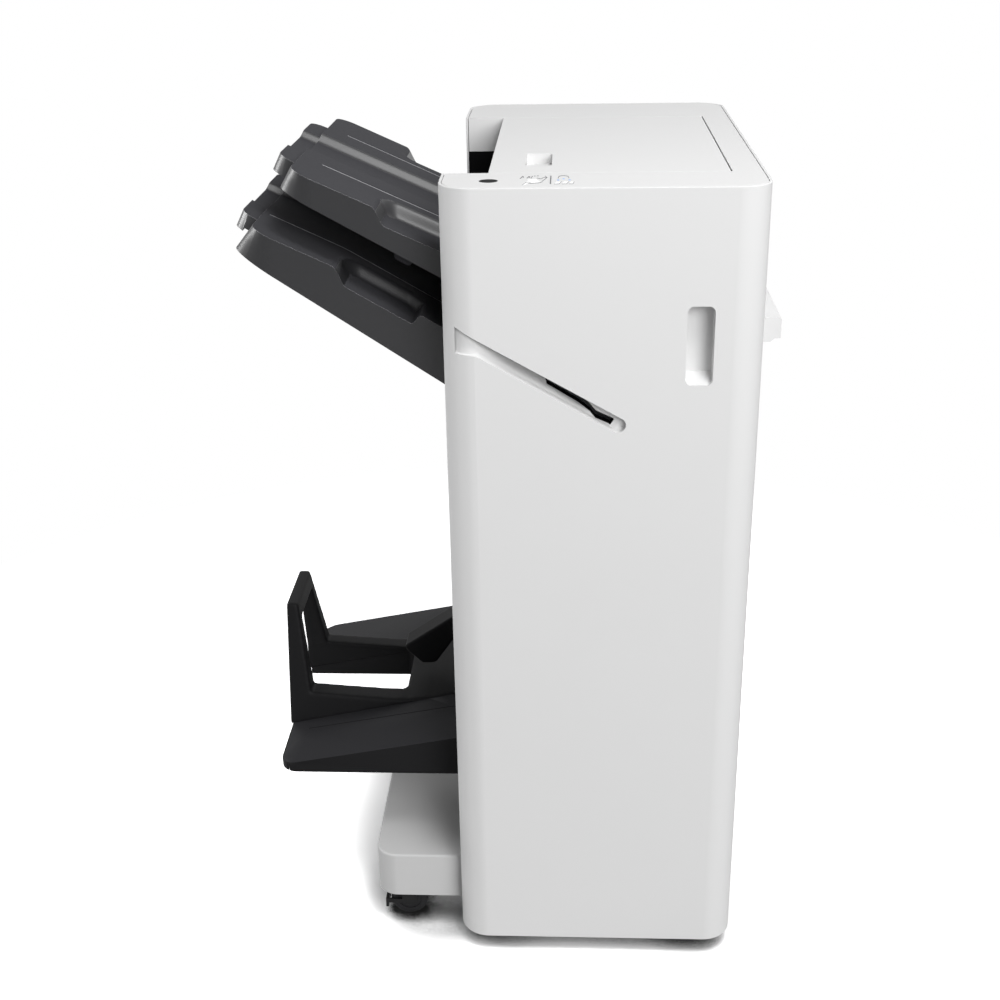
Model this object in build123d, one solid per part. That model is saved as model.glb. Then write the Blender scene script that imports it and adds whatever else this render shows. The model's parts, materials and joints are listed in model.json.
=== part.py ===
from build123d import *
import math
import os

# Floor-standing booklet maker: white cabinet with a front door, two lifting output trays
# on the left, a booklet tray below them and a wheeled base.
# Working frame: x right from the cabinet's left face, y back from its front face, z up
# from the floor. The finished parts are shifted to the bottom centre of the whole object.

# Cabinet
cabinet_width = 380.0
cabinet_depth = 642.0
cabinet_height = 1055.0
floor_gap = 26.0
corner_radius = 40.0
casing_wall = 3.0
rim_fillet = 1.2
panel_gap = 4.4
door_depth = 45.0
rear_cover_depth = 42.0
fit_gap = 0.3
running_gap = 0.05
overrun = 2.0

# Delivery recess in the left side, behind a narrow front strip
left_strip_width = 40.6
recess_depth = 54.0
recess_rear_margin = 134.0
recess_skirt = 47.4
recess_edge_lap = 0.3
tray_side_gap = 5.0

# A size that ends in drop is measured down from the cabinet's top.
# Door handle, placed from the door's right edge
handle_width = 32.0
handle_height = 96.0
handle_radius = 7.5
handle_depth = 24.0
handle_from_right = 61.0
handle_bottom_drop = 233.0
handle_wall = 2.5
handle_ledge = 11.0

# Diagonal staple slot in the door: a funnel at its left end, a round end at its right
slot_left = 16.4
slot_top_left_drop = 162.5
slot_low_left_drop = 194.5
slot_flat_end = 39.0
slot_flat_drop = 196.5
slot_low_bend = 47.5
slot_low_bend_drop = 200.0
slot_low_end = 212.7
slot_low_end_drop = 295.5
slot_top_end = 221.9
slot_top_end_drop = 279.2
slot_end_radius = 8.8
slot_depth = 15.0
slot_funnel_depth = 5.0
slot_funnel_end = 96.0
slot_wall = 2.4

# Paper slit at the back of the slot, which steps down to the stapler's jaws
slit_left = 119.0
slit_top_gap = 1.0
slit_top_step = 165.5
slit_top_turn = 183.1
slit_top_turn_drop = 269.3
slit_top_end = 205.0
slit_top_end_drop = 279.5
slit_low_end = 200.1
slit_low_end_drop = 286.3
slit_low_turn = 182.3
slit_low_turn_drop = 278.2
slit_low_step = 175.9
slit_low_step_drop = 270.2
slit_low_left = 124.0
slit_low_left_drop = 238.1

# Top cover and lid
top_wall = 3.0
top_inset = 3.9
top_skirt_wall = 2.5
lid_end_gap = 0.8
lid_hinge_gap = 0.8
lid_right_margin = 40.0
lid_barrel_radius = 3.0
lid_pin_radius = 1.5
lid_pin_length = 16.0
lid_pin_bury = 8.0
lid_rib_height = 12.0
lid_grip_left = 97.0
lid_grip_front = 136.0
lid_grip_width = 32.0
lid_grip_length = 80.0
lid_grip_depth = 13.0
lid_grip_wall = 2.0
window_radius = 11.0
window_x = 57.5
window_y = 43.0
window_thickness = 3.4
window_flange = 2.0
window_fit = 0.1

# Hinges of the front door
door_axis_x = 2.0
door_axis_gap = 1.5
door_knuckle_radius = 2.0
door_pin_radius = 1.0
door_knuckle_length = 18.0
door_hinge_count = 3
door_hinge_first_height = 130.0
door_hinge_last_drop = 175.0
door_leaf_wall = 1.6
door_leaf_depth = 14.0

# Docking bar with the paper inlet
dock_front = 95.0
dock_rear_margin = 139.0
dock_reach = 29.4
dock_top_drop = 178.5
dock_height = 26.0
dock_foot_height = 4.4
dock_foot_reach = 17.4
dock_chamfer = 4.5
inlet_end_margin = 39.0
inlet_height = 9.0
inlet_from_top = 16.5
dock_back_reach = 5.0
dock_bolt_radius = 2.5
dock_bolt_margin = 22.0

# Base
base_left = 124.0
base_front = 51.0
base_bottom = 53.4
base_top = 123.9
base_radius = 30.0
base_edge_fillet = 3.0
beam_width = 36.0
beam_height = 30.0
beam_bottom = 65.0
beam_front = 70.0
beam_left_margin = 14.0
beam_right_margin = 12.0
cross_beam_width = 34.0

# Casters
caster_left_x = -66.0
caster_right_margin = 62.0
caster_trail = 15.0
wheel_radius = 27.0
wheel_width = 22.0
wheel_hub_radius = 9.0
axle_radius = 4.0
fork_wall = 3.0
fork_gap = 0.5
fork_width = 22.0
head_height = 5.0
head_radius = 17.0
swivel_stem_radius = 6.0
pedal_width = 4.0
pedal_height = 14.0
pedal_drop = 4.0

# Side plates and stays
plate_wall = 3.0
plate_top_drop = 41.0
stay_size = 20.0
stay_left_x = 82.0
stay_right_margin = 44.0
stay_low_height = 12.0
stay_top_drop = 34.0

# Output trays, each given by its top and bottom lines in the side view
tray_wall = 3.0
tray_corner_radius = 25.0
tray_root = 50.0
valley_width = 118.0
valley_floor_width = 90.0
valley_depth = 13.0
scallop_floor_width = 42.0
scallop_width = 72.0
scallop_depth = 18.0
scallop_ramp = 10.0
groove_width = 1.6
groove_depth = 1.0
groove_inset = 95.0
groove_start = 26.0
tray_overshoot = 30.0
tray_floor_wall = 2.5
extension_drop = 7.0
extension_valley_depth = 10.0
extension_height = 20.0
extension_lip_height = 5.0
extension_lip_gap = 1.5
extension_reach = 25.5
extension_lean = 10.5
extension_width = 264.0
extension_length = 118.0
extension_corner = 22.0
extension_play = 0.6

upper_end_x = -184.0
upper_end_rise = 5.0
upper_bend_x = -85.0
upper_bend_drop = 40.1
upper_root_drop = 101.5
upper_lip_x = -198.5
upper_lip_drop = 19.0
upper_heel_drop = 158.5
upper_scallop_end = 24.0
lower_end_x = -236.5
lower_end_drop = 65.5
lower_bend_x = -136.2
lower_bend_drop = 112.7
lower_root_drop = 222.0
lower_lip_x = -259.5
lower_lip_drop = 93.5
lower_heel_drop = 300.5
lower_scallop_end = -33.7
lower_scallop_exit = 12.0

# Sensor lug under the upper tray
lug_left = -64.0
lug_width = 22.0
lug_depth = 13.0
lug_inset = 20.0
lug_thickness = 20.0
lug_radius = 5.0

# Tray lift
arm_inset = 27.0
arm_width = 10.0
arm_slot_gap = 1.0
arm_height = 34.0
arm_drop = 6.0
shoe_width = 26.0
shoe_depth = 10.0
shoe_height = 60.0
rail_width = 6.0
rail_bottom_drop = 611.0
rail_top_drop = 81.0
cross_bar_depth = 6.0
cross_bar_height = 12.0
upper_bar_drop = 136.0
lower_bar_drop = 281.0

# Delivery windows in the recess wall
window_end_margin = 52.0
upper_exit_drop = 66.0
upper_exit_opening = 24.0
main_exit_drop = 184.0
main_exit_opening = 30.0
booklet_exit_low = 316.0
booklet_exit_high = 412.0

# Booklet tray with its stop
booklet_end = -260.5
booklet_bottom = 233.5
booklet_end_top = 244.8
booklet_slope = 0.1906
booklet_radius = 25.0
booklet_groove_inset = 87.0
booklet_groove_start = 28.0
booklet_groove_end = -16.0
stop_front_foot_reach = 95.0
stop_rear_foot_reach = 111.0
stop_front_top_reach = 55.0
stop_rear_top_reach = 57.0
stop_top = 425.0
stop_end = -261.5
stop_top_thickness = 14.0
stop_foot_x = -232.0
deck_left = -222.0
deck_right = -17.0
deck_low = 282.4
deck_crown = 10.2
deck_outline_shares = ((0.0, 0.82), (0.23, 0.45), (0.52, 0.04), (0.65, 0.0), (0.83, 0.37), (1.0, 1.0))
deck_tail = 8.0
stop_window_front_reach = 52.5
stop_window_rear_reach = 69.0
stop_window_top = 399.0
stop_window_top_front_reach = 40.0
stop_window_top_rear_reach = 44.0
deck_opening_end = -92.0
deck_opening_radius = 12.0
foot_fillet = 9.0

# Booklet flap
flap_pin_x = 42.0
flap_pin_height = 428.0
flap_width = 40.0
flap_left = -97.0
flap_right = 20.0
flap_low = 306.0
flap_high = 416.0
flap_nose_share = (0.0, 0.27)
flap_chin_share = (0.04, 0.19)
flap_tip_left_share = (0.23, 0.0)
flap_tip_right_share = (0.4, 0.014)
flap_heel_share = (1.0, 0.93)
flap_top_share = (1.0, 1.0)
flap_tip_radius = 8.0
flap_nose_radius = 4.0
flap_hub_radius = 8.0
flap_pin_radius = 3.0
flap_pin_length = 72.0
flap_ear_wall = 4.0

# Rollers that carry the paper
shaft_radius = 4.0
bush_wall = 2.0
bush_flange = 2.0
bush_flange_wall = 1.5
roller_width = 24.0
roller_inset_shares = (0.14, 0.38, 0.62, 0.86)
shaft_front_stub = 8.0
shaft_rear_stub = 18.0
nip_gap = 0.5
drive_roller_radius = 11.0
idler_roller_radius = 8.5
entrance_roller_margin = 30.0
exit_roller_x = 92.0
pulley_radius = 13.0
pulley_width = 9.0
fold_roller_x = 140.0
fold_nip_height = 340.0
fold_roller_radius = 18.0
fold_shaft_radius = 6.0
fold_roller_margin = 14.0
knob_radius = 17.0
knob_length = 20.0
knob_lobe_count = 8
knob_lobe_radius = 3.0

# Fold blade
blade_wall = 1.2
blade_tip_gap = 7.0
blade_length = 74.0
blade_margin = 66.0
blade_holder_depth = 22.0
blade_holder_height = 16.0

# Stapling tray, joggers, stapler and saddle stitcher
stack_wall = 2.0
stack_left = 104.0
stack_left_drop = 213.0
stack_right = 214.0
stack_right_drop = 269.0
stop_lip = 16.0
jogger_wall = 3.0
jogger_height = 26.0
jogger_foot = 14.0
jogger_margin = 62.0
rail_bar_width = 26.0
rail_bar_height = 10.0
rail_bar_x = 236.0
rail_bar_drop = 321.0
stapler_length = 62.0
stapler_width = 58.0
stapler_head_height = 44.0
stapler_mouth = 14.0
stapler_base_height = 30.0
stapler_start_gap = 14.0
stitch_x = 216.0
stitch_height = 470.0
stitch_size = 64.0
stitch_rise = 46.0
stitch_throat = 12.0
stitch_width = 70.0
stitch_spacing = 150.0

# Motor, board and screws
motor_x = 250.0
motor_below_nip = 40.0
motor_radius = 24.0
motor_length = 40.0
motor_flange = 66.0
motor_flange_wall = 3.0
motor_pinion_radius = 6.0
board_width = 150.0
board_height = 210.0
board_wall = 1.6
board_bottom_drop = 521.0
board_post = 6.0
board_post_radius = 3.0
board_margin = 12.0
socket_count = 3
socket_size = 26.0
socket_height = 16.0
socket_depth = 12.0
screw_radius = 3.6
screw_head = 1.8
screw_socket_radius = 1.5
screw_margin = 90.0
screw_inset = 26.0
post_radius = 5.0
screw_rows = 4

# Places that follow from the sizes above
panel_bottom = floor_gap
panel_top = floor_gap + cabinet_height
side_cover_front = door_depth + panel_gap
recess_front = side_cover_front + left_strip_width
recess_rear = cabinet_depth - recess_rear_margin
centre_y = (recess_front + recess_rear) / 2
tray_front = recess_front + tray_side_gap
tray_rear = recess_rear - tray_side_gap
plate_top = panel_top - plate_top_drop
rail_bottom = panel_top - rail_bottom_drop
rail_top = panel_top - rail_top_drop
window_half_width = (recess_rear - recess_front) / 2 - window_end_margin
upper_exit_height = panel_top - upper_exit_drop
main_exit_height = panel_top - main_exit_drop
stack_left_height = panel_top - stack_left_drop
stack_right_height = panel_top - stack_right_drop
rail_bar_top = panel_top - rail_bar_drop
stop_front_foot = centre_y - stop_front_foot_reach
stop_rear_foot = centre_y + stop_rear_foot_reach
stop_front_top = centre_y - stop_front_top_reach
stop_rear_top = centre_y + stop_rear_top_reach
stop_window_front = centre_y - stop_window_front_reach
stop_window_rear = centre_y + stop_window_rear_reach
stop_window_top_front = centre_y - stop_window_top_front_reach
stop_window_top_rear = centre_y + stop_window_top_rear_reach
door_axis_y = door_depth + door_axis_gap
rear_cover_front = cabinet_depth - rear_cover_depth
side_cover_rear = rear_cover_front - panel_gap
front_plate_y = beam_front
rear_plate_y = cabinet_depth - beam_front - plate_wall
plate_inner_front = front_plate_y + plate_wall
plate_inner_rear = rear_plate_y
plate_foot = beam_bottom + beam_height
inner_top = panel_top - recess_skirt
back_wall_left = recess_depth
back_wall_right = recess_depth + casing_wall
plate_left = back_wall_right
plate_right = cabinet_width - casing_wall
dock_top = panel_top - dock_top_drop
dock_rear = cabinet_depth - dock_rear_margin
inlet_half_width = (dock_rear - dock_front) / 2 - inlet_end_margin
lid_right = cabinet_width - lid_right_margin
lid_hinge_x = lid_right - lid_barrel_radius
lid_hinge_z = panel_top - lid_barrel_radius
base_rear = cabinet_depth - base_front
caster_right_x = cabinet_width - caster_right_margin
stay_right_x = cabinet_width - stay_right_margin
entrance_roller_x = cabinet_width - entrance_roller_margin
motor_height = fold_nip_height - motor_below_nip
board_left = (cabinet_width - board_width) / 2
board_bottom = panel_top - board_bottom_drop

# The trays' outlines in the side view
upper_tray_data = {
    "end_top": (upper_end_x, panel_top + upper_end_rise),
    "bend": (upper_bend_x, panel_top - upper_bend_drop),
    "root_top": (tray_root, panel_top - upper_root_drop),
    "end_bottom": (upper_lip_x, panel_top - upper_lip_drop),
    "root_bottom": (tray_root, panel_top - upper_heel_drop),
    "scallop": (upper_bend_x, upper_scallop_end),
    "scallop_exit": 0.0,
}
lower_tray_data = {
    "end_top": (lower_end_x, panel_top - lower_end_drop),
    "bend": (lower_bend_x, panel_top - lower_bend_drop),
    "root_top": (tray_root, panel_top - lower_root_drop),
    "end_bottom": (lower_lip_x, panel_top - lower_lip_drop),
    "root_bottom": (tray_root, panel_top - lower_heel_drop),
    "scallop": (lower_bend_x, lower_scallop_end),
    "scallop_exit": lower_scallop_exit,
}


def box(x0, x1, y0, y1, z0, z1):
    size = Box(x1 - x0, y1 - y0, z1 - z0)
    return Pos((x0 + x1) / 2, (y0 + y1) / 2, (z0 + z1) / 2) * size


def prism_along_y(outline, y0, y1):
    face = make_face(Polyline(*[(x, y0, z) for x, z in outline], close=True))
    return extrude(face, amount=y1 - y0, dir=(0, 1, 0))


def prism_along_x(outline, x0, x1):
    face = make_face(Polyline(*[(x0, y, z) for y, z in outline], close=True))
    return extrude(face, amount=x1 - x0, dir=(1, 0, 0))


def rod_x(y, z, radius, x0, x1):
    return Pos((x0 + x1) / 2, y, z) * Rot(0, 90, 0) * Cylinder(radius, x1 - x0)


def rod_y(x, z, radius, y0, y1):
    return Pos(x, (y0 + y1) / 2, z) * Rot(90, 0, 0) * Cylinder(radius, y1 - y0)


def rod_z(x, y, radius, z0, z1):
    return Pos(x, y, (z0 + z1) / 2) * Cylinder(radius, z1 - z0)


def rounded_plan(x0, x1, y0, y1, z0, z1, radii):
    # An upright block with its four vertical edges rounded, in the order
    # front left, front right, rear right, rear left.
    block = box(x0, x1, y0, y1, z0, z1)
    corners = ((x0, y0), (x1, y0), (x1, y1), (x0, y1))
    for (cx, cy), radius in zip(corners, radii):
        if radius <= 0:
            continue
        edges = block.edges().filter_by(Axis.Z)
        edge = min(edges, key=lambda e: math.hypot(e.center().X - cx, e.center().Y - cy))
        block = fillet(edge, radius)
    return block


def cabinet_block(inset, y0, y1, z0, z1):
    # The cabinet's outer form, drawn in by an inset, between two depths.
    radius = corner_radius - inset
    block = rounded_plan(inset, cabinet_width - inset, inset, cabinet_depth - inset, z0, z1, (radius,) * 4)
    return block & box(-overrun, cabinet_width + overrun, y0, y1, z0, z1)


def line_height(first, second, x):
    return first[1] + (second[1] - first[1]) * (x - first[0]) / (second[0] - first[0])


def slot_top_height(x):
    # The slot's straight upper edge.
    return line_height((slot_left, panel_top - slot_top_left_drop), (slot_top_end, panel_top - slot_top_end_drop), x)


def slot_low_height(x):
    # The slot's straight lower edge, right of its bend.
    return line_height((slot_low_bend, panel_top - slot_low_bend_drop), (slot_low_end, panel_top - slot_low_end_drop), x)


def slot_block(grow, y0, y1):
    # The staple slot's outline on the door, drawn out by grow.
    run = math.hypot(slot_top_end - slot_left, slot_top_end_drop - slot_top_left_drop)
    along = (slot_top_end - slot_left) / run
    down = (slot_top_end_drop - slot_top_left_drop) / run
    block = prism_along_y([
        (slot_left - grow, slot_top_height(slot_left - grow) + grow / along),
        (slot_left - grow, panel_top - slot_low_left_drop - grow),
        (slot_flat_end, panel_top - slot_flat_drop - grow),
        (slot_low_bend, panel_top - slot_low_bend_drop - grow / along),
        (slot_low_end + grow * (along - down), panel_top - slot_low_end_drop - grow * (along + down)),
        (slot_top_end + grow * (along + down), panel_top - slot_top_end_drop + grow * (along - down)),
    ], y0, y1)
    nose = [e for e in block.edges().filter_by(Axis.Y) if e.center().X > slot_low_end - overrun]
    return fillet(nose, slot_end_radius + grow)


def slit_block(y0, y1):
    # The paper slit: high along the slot, narrow and lower at the stapler's jaws.
    return prism_along_y([
        (slit_left, slot_top_height(slit_left) - slit_top_gap),
        (slit_top_step, slot_top_height(slit_top_step) - slit_top_gap),
        (slit_top_turn, panel_top - slit_top_turn_drop),
        (slit_top_end, panel_top - slit_top_end_drop),
        (slit_low_end, panel_top - slit_low_end_drop),
        (slit_low_turn, panel_top - slit_low_turn_drop),
        (slit_low_step, panel_top - slit_low_step_drop),
        (slit_low_left, panel_top - slit_low_left_drop),
    ], y0, y1)


def handle_block(grow, y0, y1):
    x1 = cabinet_width - handle_from_right + grow
    x0 = x1 - handle_width - 2 * grow
    z0 = panel_top - handle_bottom_drop - grow
    block = box(x0, x1, y0, y1, z0, z0 + handle_height + 2 * grow)
    return fillet(block.edges().filter_by(Axis.Y), handle_radius + grow)


def door_hinge_heights():
    first = panel_bottom + door_hinge_first_height
    step = (panel_top - door_hinge_last_drop - first) / (door_hinge_count - 1)
    return [first + step * i for i in range(door_hinge_count)]


def make_front_door():
    outer = cabinet_block(0, 0, door_depth, panel_bottom, panel_top)
    rim = outer.edges().group_by(Axis.Z)[-1].filter_by(lambda e: e.center().Y < door_depth - overrun / 2)
    outer = fillet(rim, rim_fillet)
    inner = cabinet_block(casing_wall, casing_wall, door_depth + overrun, panel_bottom - overrun, panel_top + overrun)
    door = outer - inner
    door -= handle_block(0, -overrun, corner_radius)
    door -= slot_block(0, -overrun, corner_radius)
    for z in door_hinge_heights():
        reach = door_knuckle_length + 2 * fit_gap
        door -= box(-overrun, door_axis_x + door_knuckle_radius + fit_gap, door_axis_y - door_knuckle_radius - fit_gap,
                    door_depth + overrun, z - fit_gap, z + reach)
        base = z + door_knuckle_length + fit_gap * 2
        knuckle = rod_z(door_axis_x, door_axis_y, door_knuckle_radius, base, base + door_knuckle_length)
        web = box(casing_wall / 2, casing_wall + door_leaf_wall, door_depth - door_leaf_depth, door_axis_y,
                  base, base + door_knuckle_length)
        bore = rod_z(door_axis_x, door_axis_y, door_pin_radius + running_gap, base - overrun,
                     base + door_knuckle_length + overrun)
        notch = box(-overrun, door_axis_x + door_knuckle_radius + fit_gap, door_axis_y - door_knuckle_radius,
                    door_depth + overrun, base, base + door_knuckle_length)
        door = door - notch + web + knuckle - bore
    return door


def make_handle_cup():
    # The cup behind the door's handle opening, deeper at the top than at its ledge.
    y0 = casing_wall
    outer = handle_block(handle_wall, y0, y0 + handle_depth)
    inner = handle_block(0, y0 - overrun, y0 + handle_depth - handle_wall)
    z0 = panel_top - handle_bottom_drop
    x1 = cabinet_width - handle_from_right
    ledge = prism_along_x([
        (y0, z0 - handle_wall / 2), (y0 + handle_depth - handle_wall / 2, z0 - handle_wall / 2),
        (y0 + handle_depth - handle_wall / 2, z0 + handle_ledge), (y0, z0),
    ], x1 - handle_width - handle_wall / 2, x1 + handle_wall / 2)
    return outer - inner + (ledge & outer)


def make_slot_liner():
    # The trough behind the staple slot, with the paper slit through its floor.
    outer = slot_block(slot_wall, casing_wall, casing_wall + slot_depth)
    outer = outer & cabinet_block(casing_wall, casing_wall, corner_radius, panel_bottom, panel_top)
    back = casing_wall + slot_depth - slot_wall
    inner = slot_block(0, -overrun, back)
    # The funnel's back wall slopes from the left end to the full depth.
    ramp = make_face(Polyline((slot_left - overrun, slot_funnel_depth), (slot_funnel_end, back + overrun / 2),
                              (slot_left - overrun, back + overrun / 2), close=True))
    ramp = extrude(Pos(0, 0, slot_low_height(slot_funnel_end)) * ramp, amount=slot_funnel_end, dir=(0, 0, 1))
    return outer - (inner - ramp) - slit_block(casing_wall, casing_wall + slot_depth + overrun)


def make_door_hinges():
    # The leaves and pins on the cabinet's side of the door hinges.
    hinges = []
    for z in door_hinge_heights():
        knuckle = rod_z(door_axis_x, door_axis_y, door_knuckle_radius, z, z + door_knuckle_length)
        leaf = box(casing_wall, casing_wall + door_leaf_wall, door_axis_y, side_cover_front + door_leaf_depth,
                   z, z + door_knuckle_length)
        pin = rod_z(door_axis_x, door_axis_y, door_pin_radius, z, z + 2 * door_knuckle_length)
        hinges.append(knuckle + leaf + pin)
    return Compound(children=hinges)


def make_left_cover(y0, y1):
    # A flat strip of the left side, which stands on the base cover.
    strip = box(0, casing_wall, y0, y1, base_top + panel_gap / 4, panel_top)
    return fillet(strip.edges().filter_by(Axis.Z).sort_by(Axis.X)[:2], rim_fillet)


def make_left_front_cover():
    return make_left_cover(side_cover_front, recess_front)


def make_left_rear_cover():
    return make_left_cover(recess_rear, side_cover_rear)


def make_right_cover():
    cover = box(cabinet_width - casing_wall, cabinet_width, side_cover_front, side_cover_rear, panel_bottom, panel_top)
    foot = dock_top - dock_height - dock_foot_height
    cover -= box(cabinet_width - casing_wall - overrun, cabinet_width + overrun, dock_front - fit_gap,
                 dock_rear + fit_gap, foot - fit_gap, dock_top + fit_gap)
    return cover


def make_rear_cover():
    outer = cabinet_block(0, rear_cover_front, cabinet_depth, panel_bottom, panel_top)
    inner = cabinet_block(casing_wall, rear_cover_front - overrun, cabinet_depth - casing_wall,
                          panel_bottom - overrun, panel_top + overrun)
    return outer - inner


def arm_places():
    return (tray_front + arm_inset, tray_rear - arm_inset)


def make_delivery_cover():
    # The dark channel that lines the recess: back wall, two sides, exits and arm slots.
    z0 = base_top + panel_gap / 4
    side_x = casing_wall + recess_edge_lap
    cover = box(side_x, back_wall_right, recess_front - casing_wall, recess_rear + casing_wall, z0, inner_top)
    cover -= box(-overrun, back_wall_left, recess_front, recess_rear, z0 - overrun, inner_top + overrun)
    cover += box(back_wall_left, back_wall_right, front_plate_y, rear_plate_y + plate_wall, z0, inner_top)
    half = window_half_width
    for low, high in ((upper_exit_height - upper_exit_opening / 2, upper_exit_height + upper_exit_opening / 2),
                      (main_exit_height - main_exit_opening / 2, main_exit_height + main_exit_opening / 2),
                      (booklet_exit_low, booklet_exit_high)):
        cover -= box(back_wall_left - overrun, back_wall_right + overrun, centre_y - half, centre_y + half, low, high)
    slot_half = arm_width / 2 + arm_slot_gap
    for y in arm_places():
        cover -= box(back_wall_left - overrun, back_wall_right + overrun, y - slot_half, y + slot_half,
                     rail_bottom + shoe_height / 2, rail_top)
    return cover


def make_top_cover():
    # The frame around the lid, with white skirts down both sides of the recess.
    low = panel_top - top_wall
    cover = cabinet_block(top_inset, top_inset, cabinet_depth - top_inset, low, panel_top)
    cover -= box(-overrun, recess_depth, recess_front, recess_rear, low - overrun, panel_top + overrun)
    cover -= box(recess_depth - overrun, lid_right + lid_hinge_gap, recess_front, recess_rear, low - overrun,
                 panel_top + overrun)
    cover += box(top_inset, back_wall_right, recess_front - top_skirt_wall, recess_front, inner_top, low)
    cover += box(top_inset, back_wall_right, recess_rear, recess_rear + top_skirt_wall, inner_top, low)
    ear = lid_barrel_radius + top_wall
    for y0, y1 in ((recess_front - lid_pin_bury - top_skirt_wall, recess_front),
                   (recess_rear, recess_rear + lid_pin_bury + top_skirt_wall)):
        cover += box(lid_hinge_x - ear, lid_hinge_x + ear, y0, y1, lid_hinge_z - ear, low)
    cover -= rod_y(lid_hinge_x, lid_hinge_z, lid_pin_radius + running_gap, recess_front - lid_pin_bury,
                   recess_rear + lid_pin_bury)
    cover -= rod_z(window_x, window_y, window_radius + window_fit, low - overrun, panel_top + overrun)
    rim = cover.edges().group_by(Axis.Z)[-1].filter_by(is_on_rim)
    return fillet(rim, rim_fillet / 2)


def is_on_rim(edge):
    # True for the top cover's outer outline, which meets the casing all round.
    spot = edge.center()
    near_side = min(spot.X, cabinet_width - spot.X) < corner_radius / 2
    near_end = min(spot.Y, cabinet_depth - spot.Y) < corner_radius / 2
    in_recess = recess_front - overrun < spot.Y < recess_rear + overrun and spot.X < recess_depth + overrun
    return (near_side or near_end) and not in_recess


def make_top_lid():
    front = recess_front + lid_end_gap
    rear = recess_rear - lid_end_gap
    low = panel_top - top_wall
    left = recess_depth + lid_end_gap
    lid = box(left, lid_hinge_x, front, rear, low, panel_top)
    lid += box(left, left + top_wall, front, rear, low - lid_rib_height, low)
    lid += rod_y(lid_hinge_x, lid_hinge_z, lid_barrel_radius, front, rear)
    grip_x1 = lid_grip_left + lid_grip_width
    grip_y1 = lid_grip_front + lid_grip_length
    lid += box(lid_grip_left - lid_grip_wall, grip_x1 + lid_grip_wall, lid_grip_front - lid_grip_wall,
               grip_y1 + lid_grip_wall, panel_top - lid_grip_depth - lid_grip_wall, low)
    pocket = box(lid_grip_left, grip_x1, lid_grip_front, grip_y1, panel_top - lid_grip_depth, panel_top + overrun)
    pocket = fillet(pocket.edges().filter_by(Axis.Z), lid_grip_wall * 2)
    lid -= pocket
    lid -= rod_y(lid_hinge_x, lid_hinge_z, lid_pin_radius, front - overrun, front + lid_pin_length - lid_pin_bury)
    lid -= rod_y(lid_hinge_x, lid_hinge_z, lid_pin_radius, rear - lid_pin_length + lid_pin_bury, rear + overrun)
    return lid


def make_lid_pins():
    front = recess_front + lid_end_gap + lid_pin_length - lid_pin_bury
    rear = recess_rear - lid_end_gap - lid_pin_length + lid_pin_bury
    end_gap = fit_gap
    return Compound(children=[
        rod_y(lid_hinge_x, lid_hinge_z, lid_pin_radius, recess_front - lid_pin_bury + end_gap, front),
        rod_y(lid_hinge_x, lid_hinge_z, lid_pin_radius, rear, recess_rear + lid_pin_bury - end_gap),
    ])


def make_status_window():
    low = panel_top - window_thickness
    disc = rod_z(window_x, window_y, window_radius, low, panel_top - window_fit * 2)
    return disc + rod_z(window_x, window_y, window_radius + window_flange, low - window_flange / 2,
                        panel_top - top_wall)


def make_docking_bar():
    # The bar that meets the copier: paper passes through its slot into the cabinet.
    top = dock_top
    low = top - dock_height
    right = cabinet_width + dock_reach
    left = cabinet_width - casing_wall - dock_back_reach
    foot_right = cabinet_width + dock_foot_reach
    bar = prism_along_y([
        (left, low - dock_foot_height), (foot_right, low - dock_foot_height),
        (foot_right + dock_foot_height, low), (right, low), (right, top - dock_chamfer / 2),
        (right - dock_chamfer / 2, top), (left, top),
    ], dock_front, dock_rear)
    slot_z = top - inlet_from_top
    bar -= box(left - overrun, right + overrun, centre_y - inlet_half_width, centre_y + inlet_half_width,
               slot_z - inlet_height / 2, slot_z + inlet_height / 2)
    for y in (dock_front + dock_bolt_margin, dock_rear - dock_bolt_margin):
        bar -= rod_x(y, top - dock_height / 2, dock_bolt_radius, left - overrun, right + overrun)
    return bar


def make_base_cover():
    x1 = recess_depth - panel_gap
    outer = rounded_plan(-base_left, x1, base_front, base_rear, base_bottom, base_top, (base_radius, 0, 0, base_radius))
    outer = fillet(outer.edges().group_by(Axis.Z)[-1].sort_by(Axis.X)[:-1], base_edge_fillet)
    inner = rounded_plan(-base_left + casing_wall, x1 + overrun, base_front + casing_wall, base_rear - casing_wall,
                         base_bottom - overrun, base_top - casing_wall,
                         (base_radius - casing_wall, 0, 0, base_radius - casing_wall))
    return outer - inner


def make_base_frame():
    x0 = -base_left + beam_left_margin
    x1 = cabinet_width - casing_wall - beam_right_margin
    top = beam_bottom + beam_height
    rear = cabinet_depth - beam_front
    frame = box(x0, x1, beam_front, beam_front + beam_width, beam_bottom, top)
    frame += box(x0, x1, rear - beam_width, rear, beam_bottom, top)
    for x in (x0, (x0 + x1) / 2, x1 - cross_beam_width):
        frame += box(x, x + cross_beam_width, beam_front, rear, beam_bottom, top)
    # Four posts carry the base cover.
    for x in (x0, recess_depth - panel_gap - cross_beam_width):
        for y in (beam_front, rear - beam_width):
            frame += box(x, x + cross_beam_width / 2, y, y + beam_width, top, base_top - casing_wall)
    return frame


def caster_places():
    front = beam_front + beam_width / 2
    rear = cabinet_depth - front
    return {"front_left": (caster_left_x, front), "front_right": (caster_right_x, front),
            "rear_left": (caster_left_x, rear), "rear_right": (caster_right_x, rear)}


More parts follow.
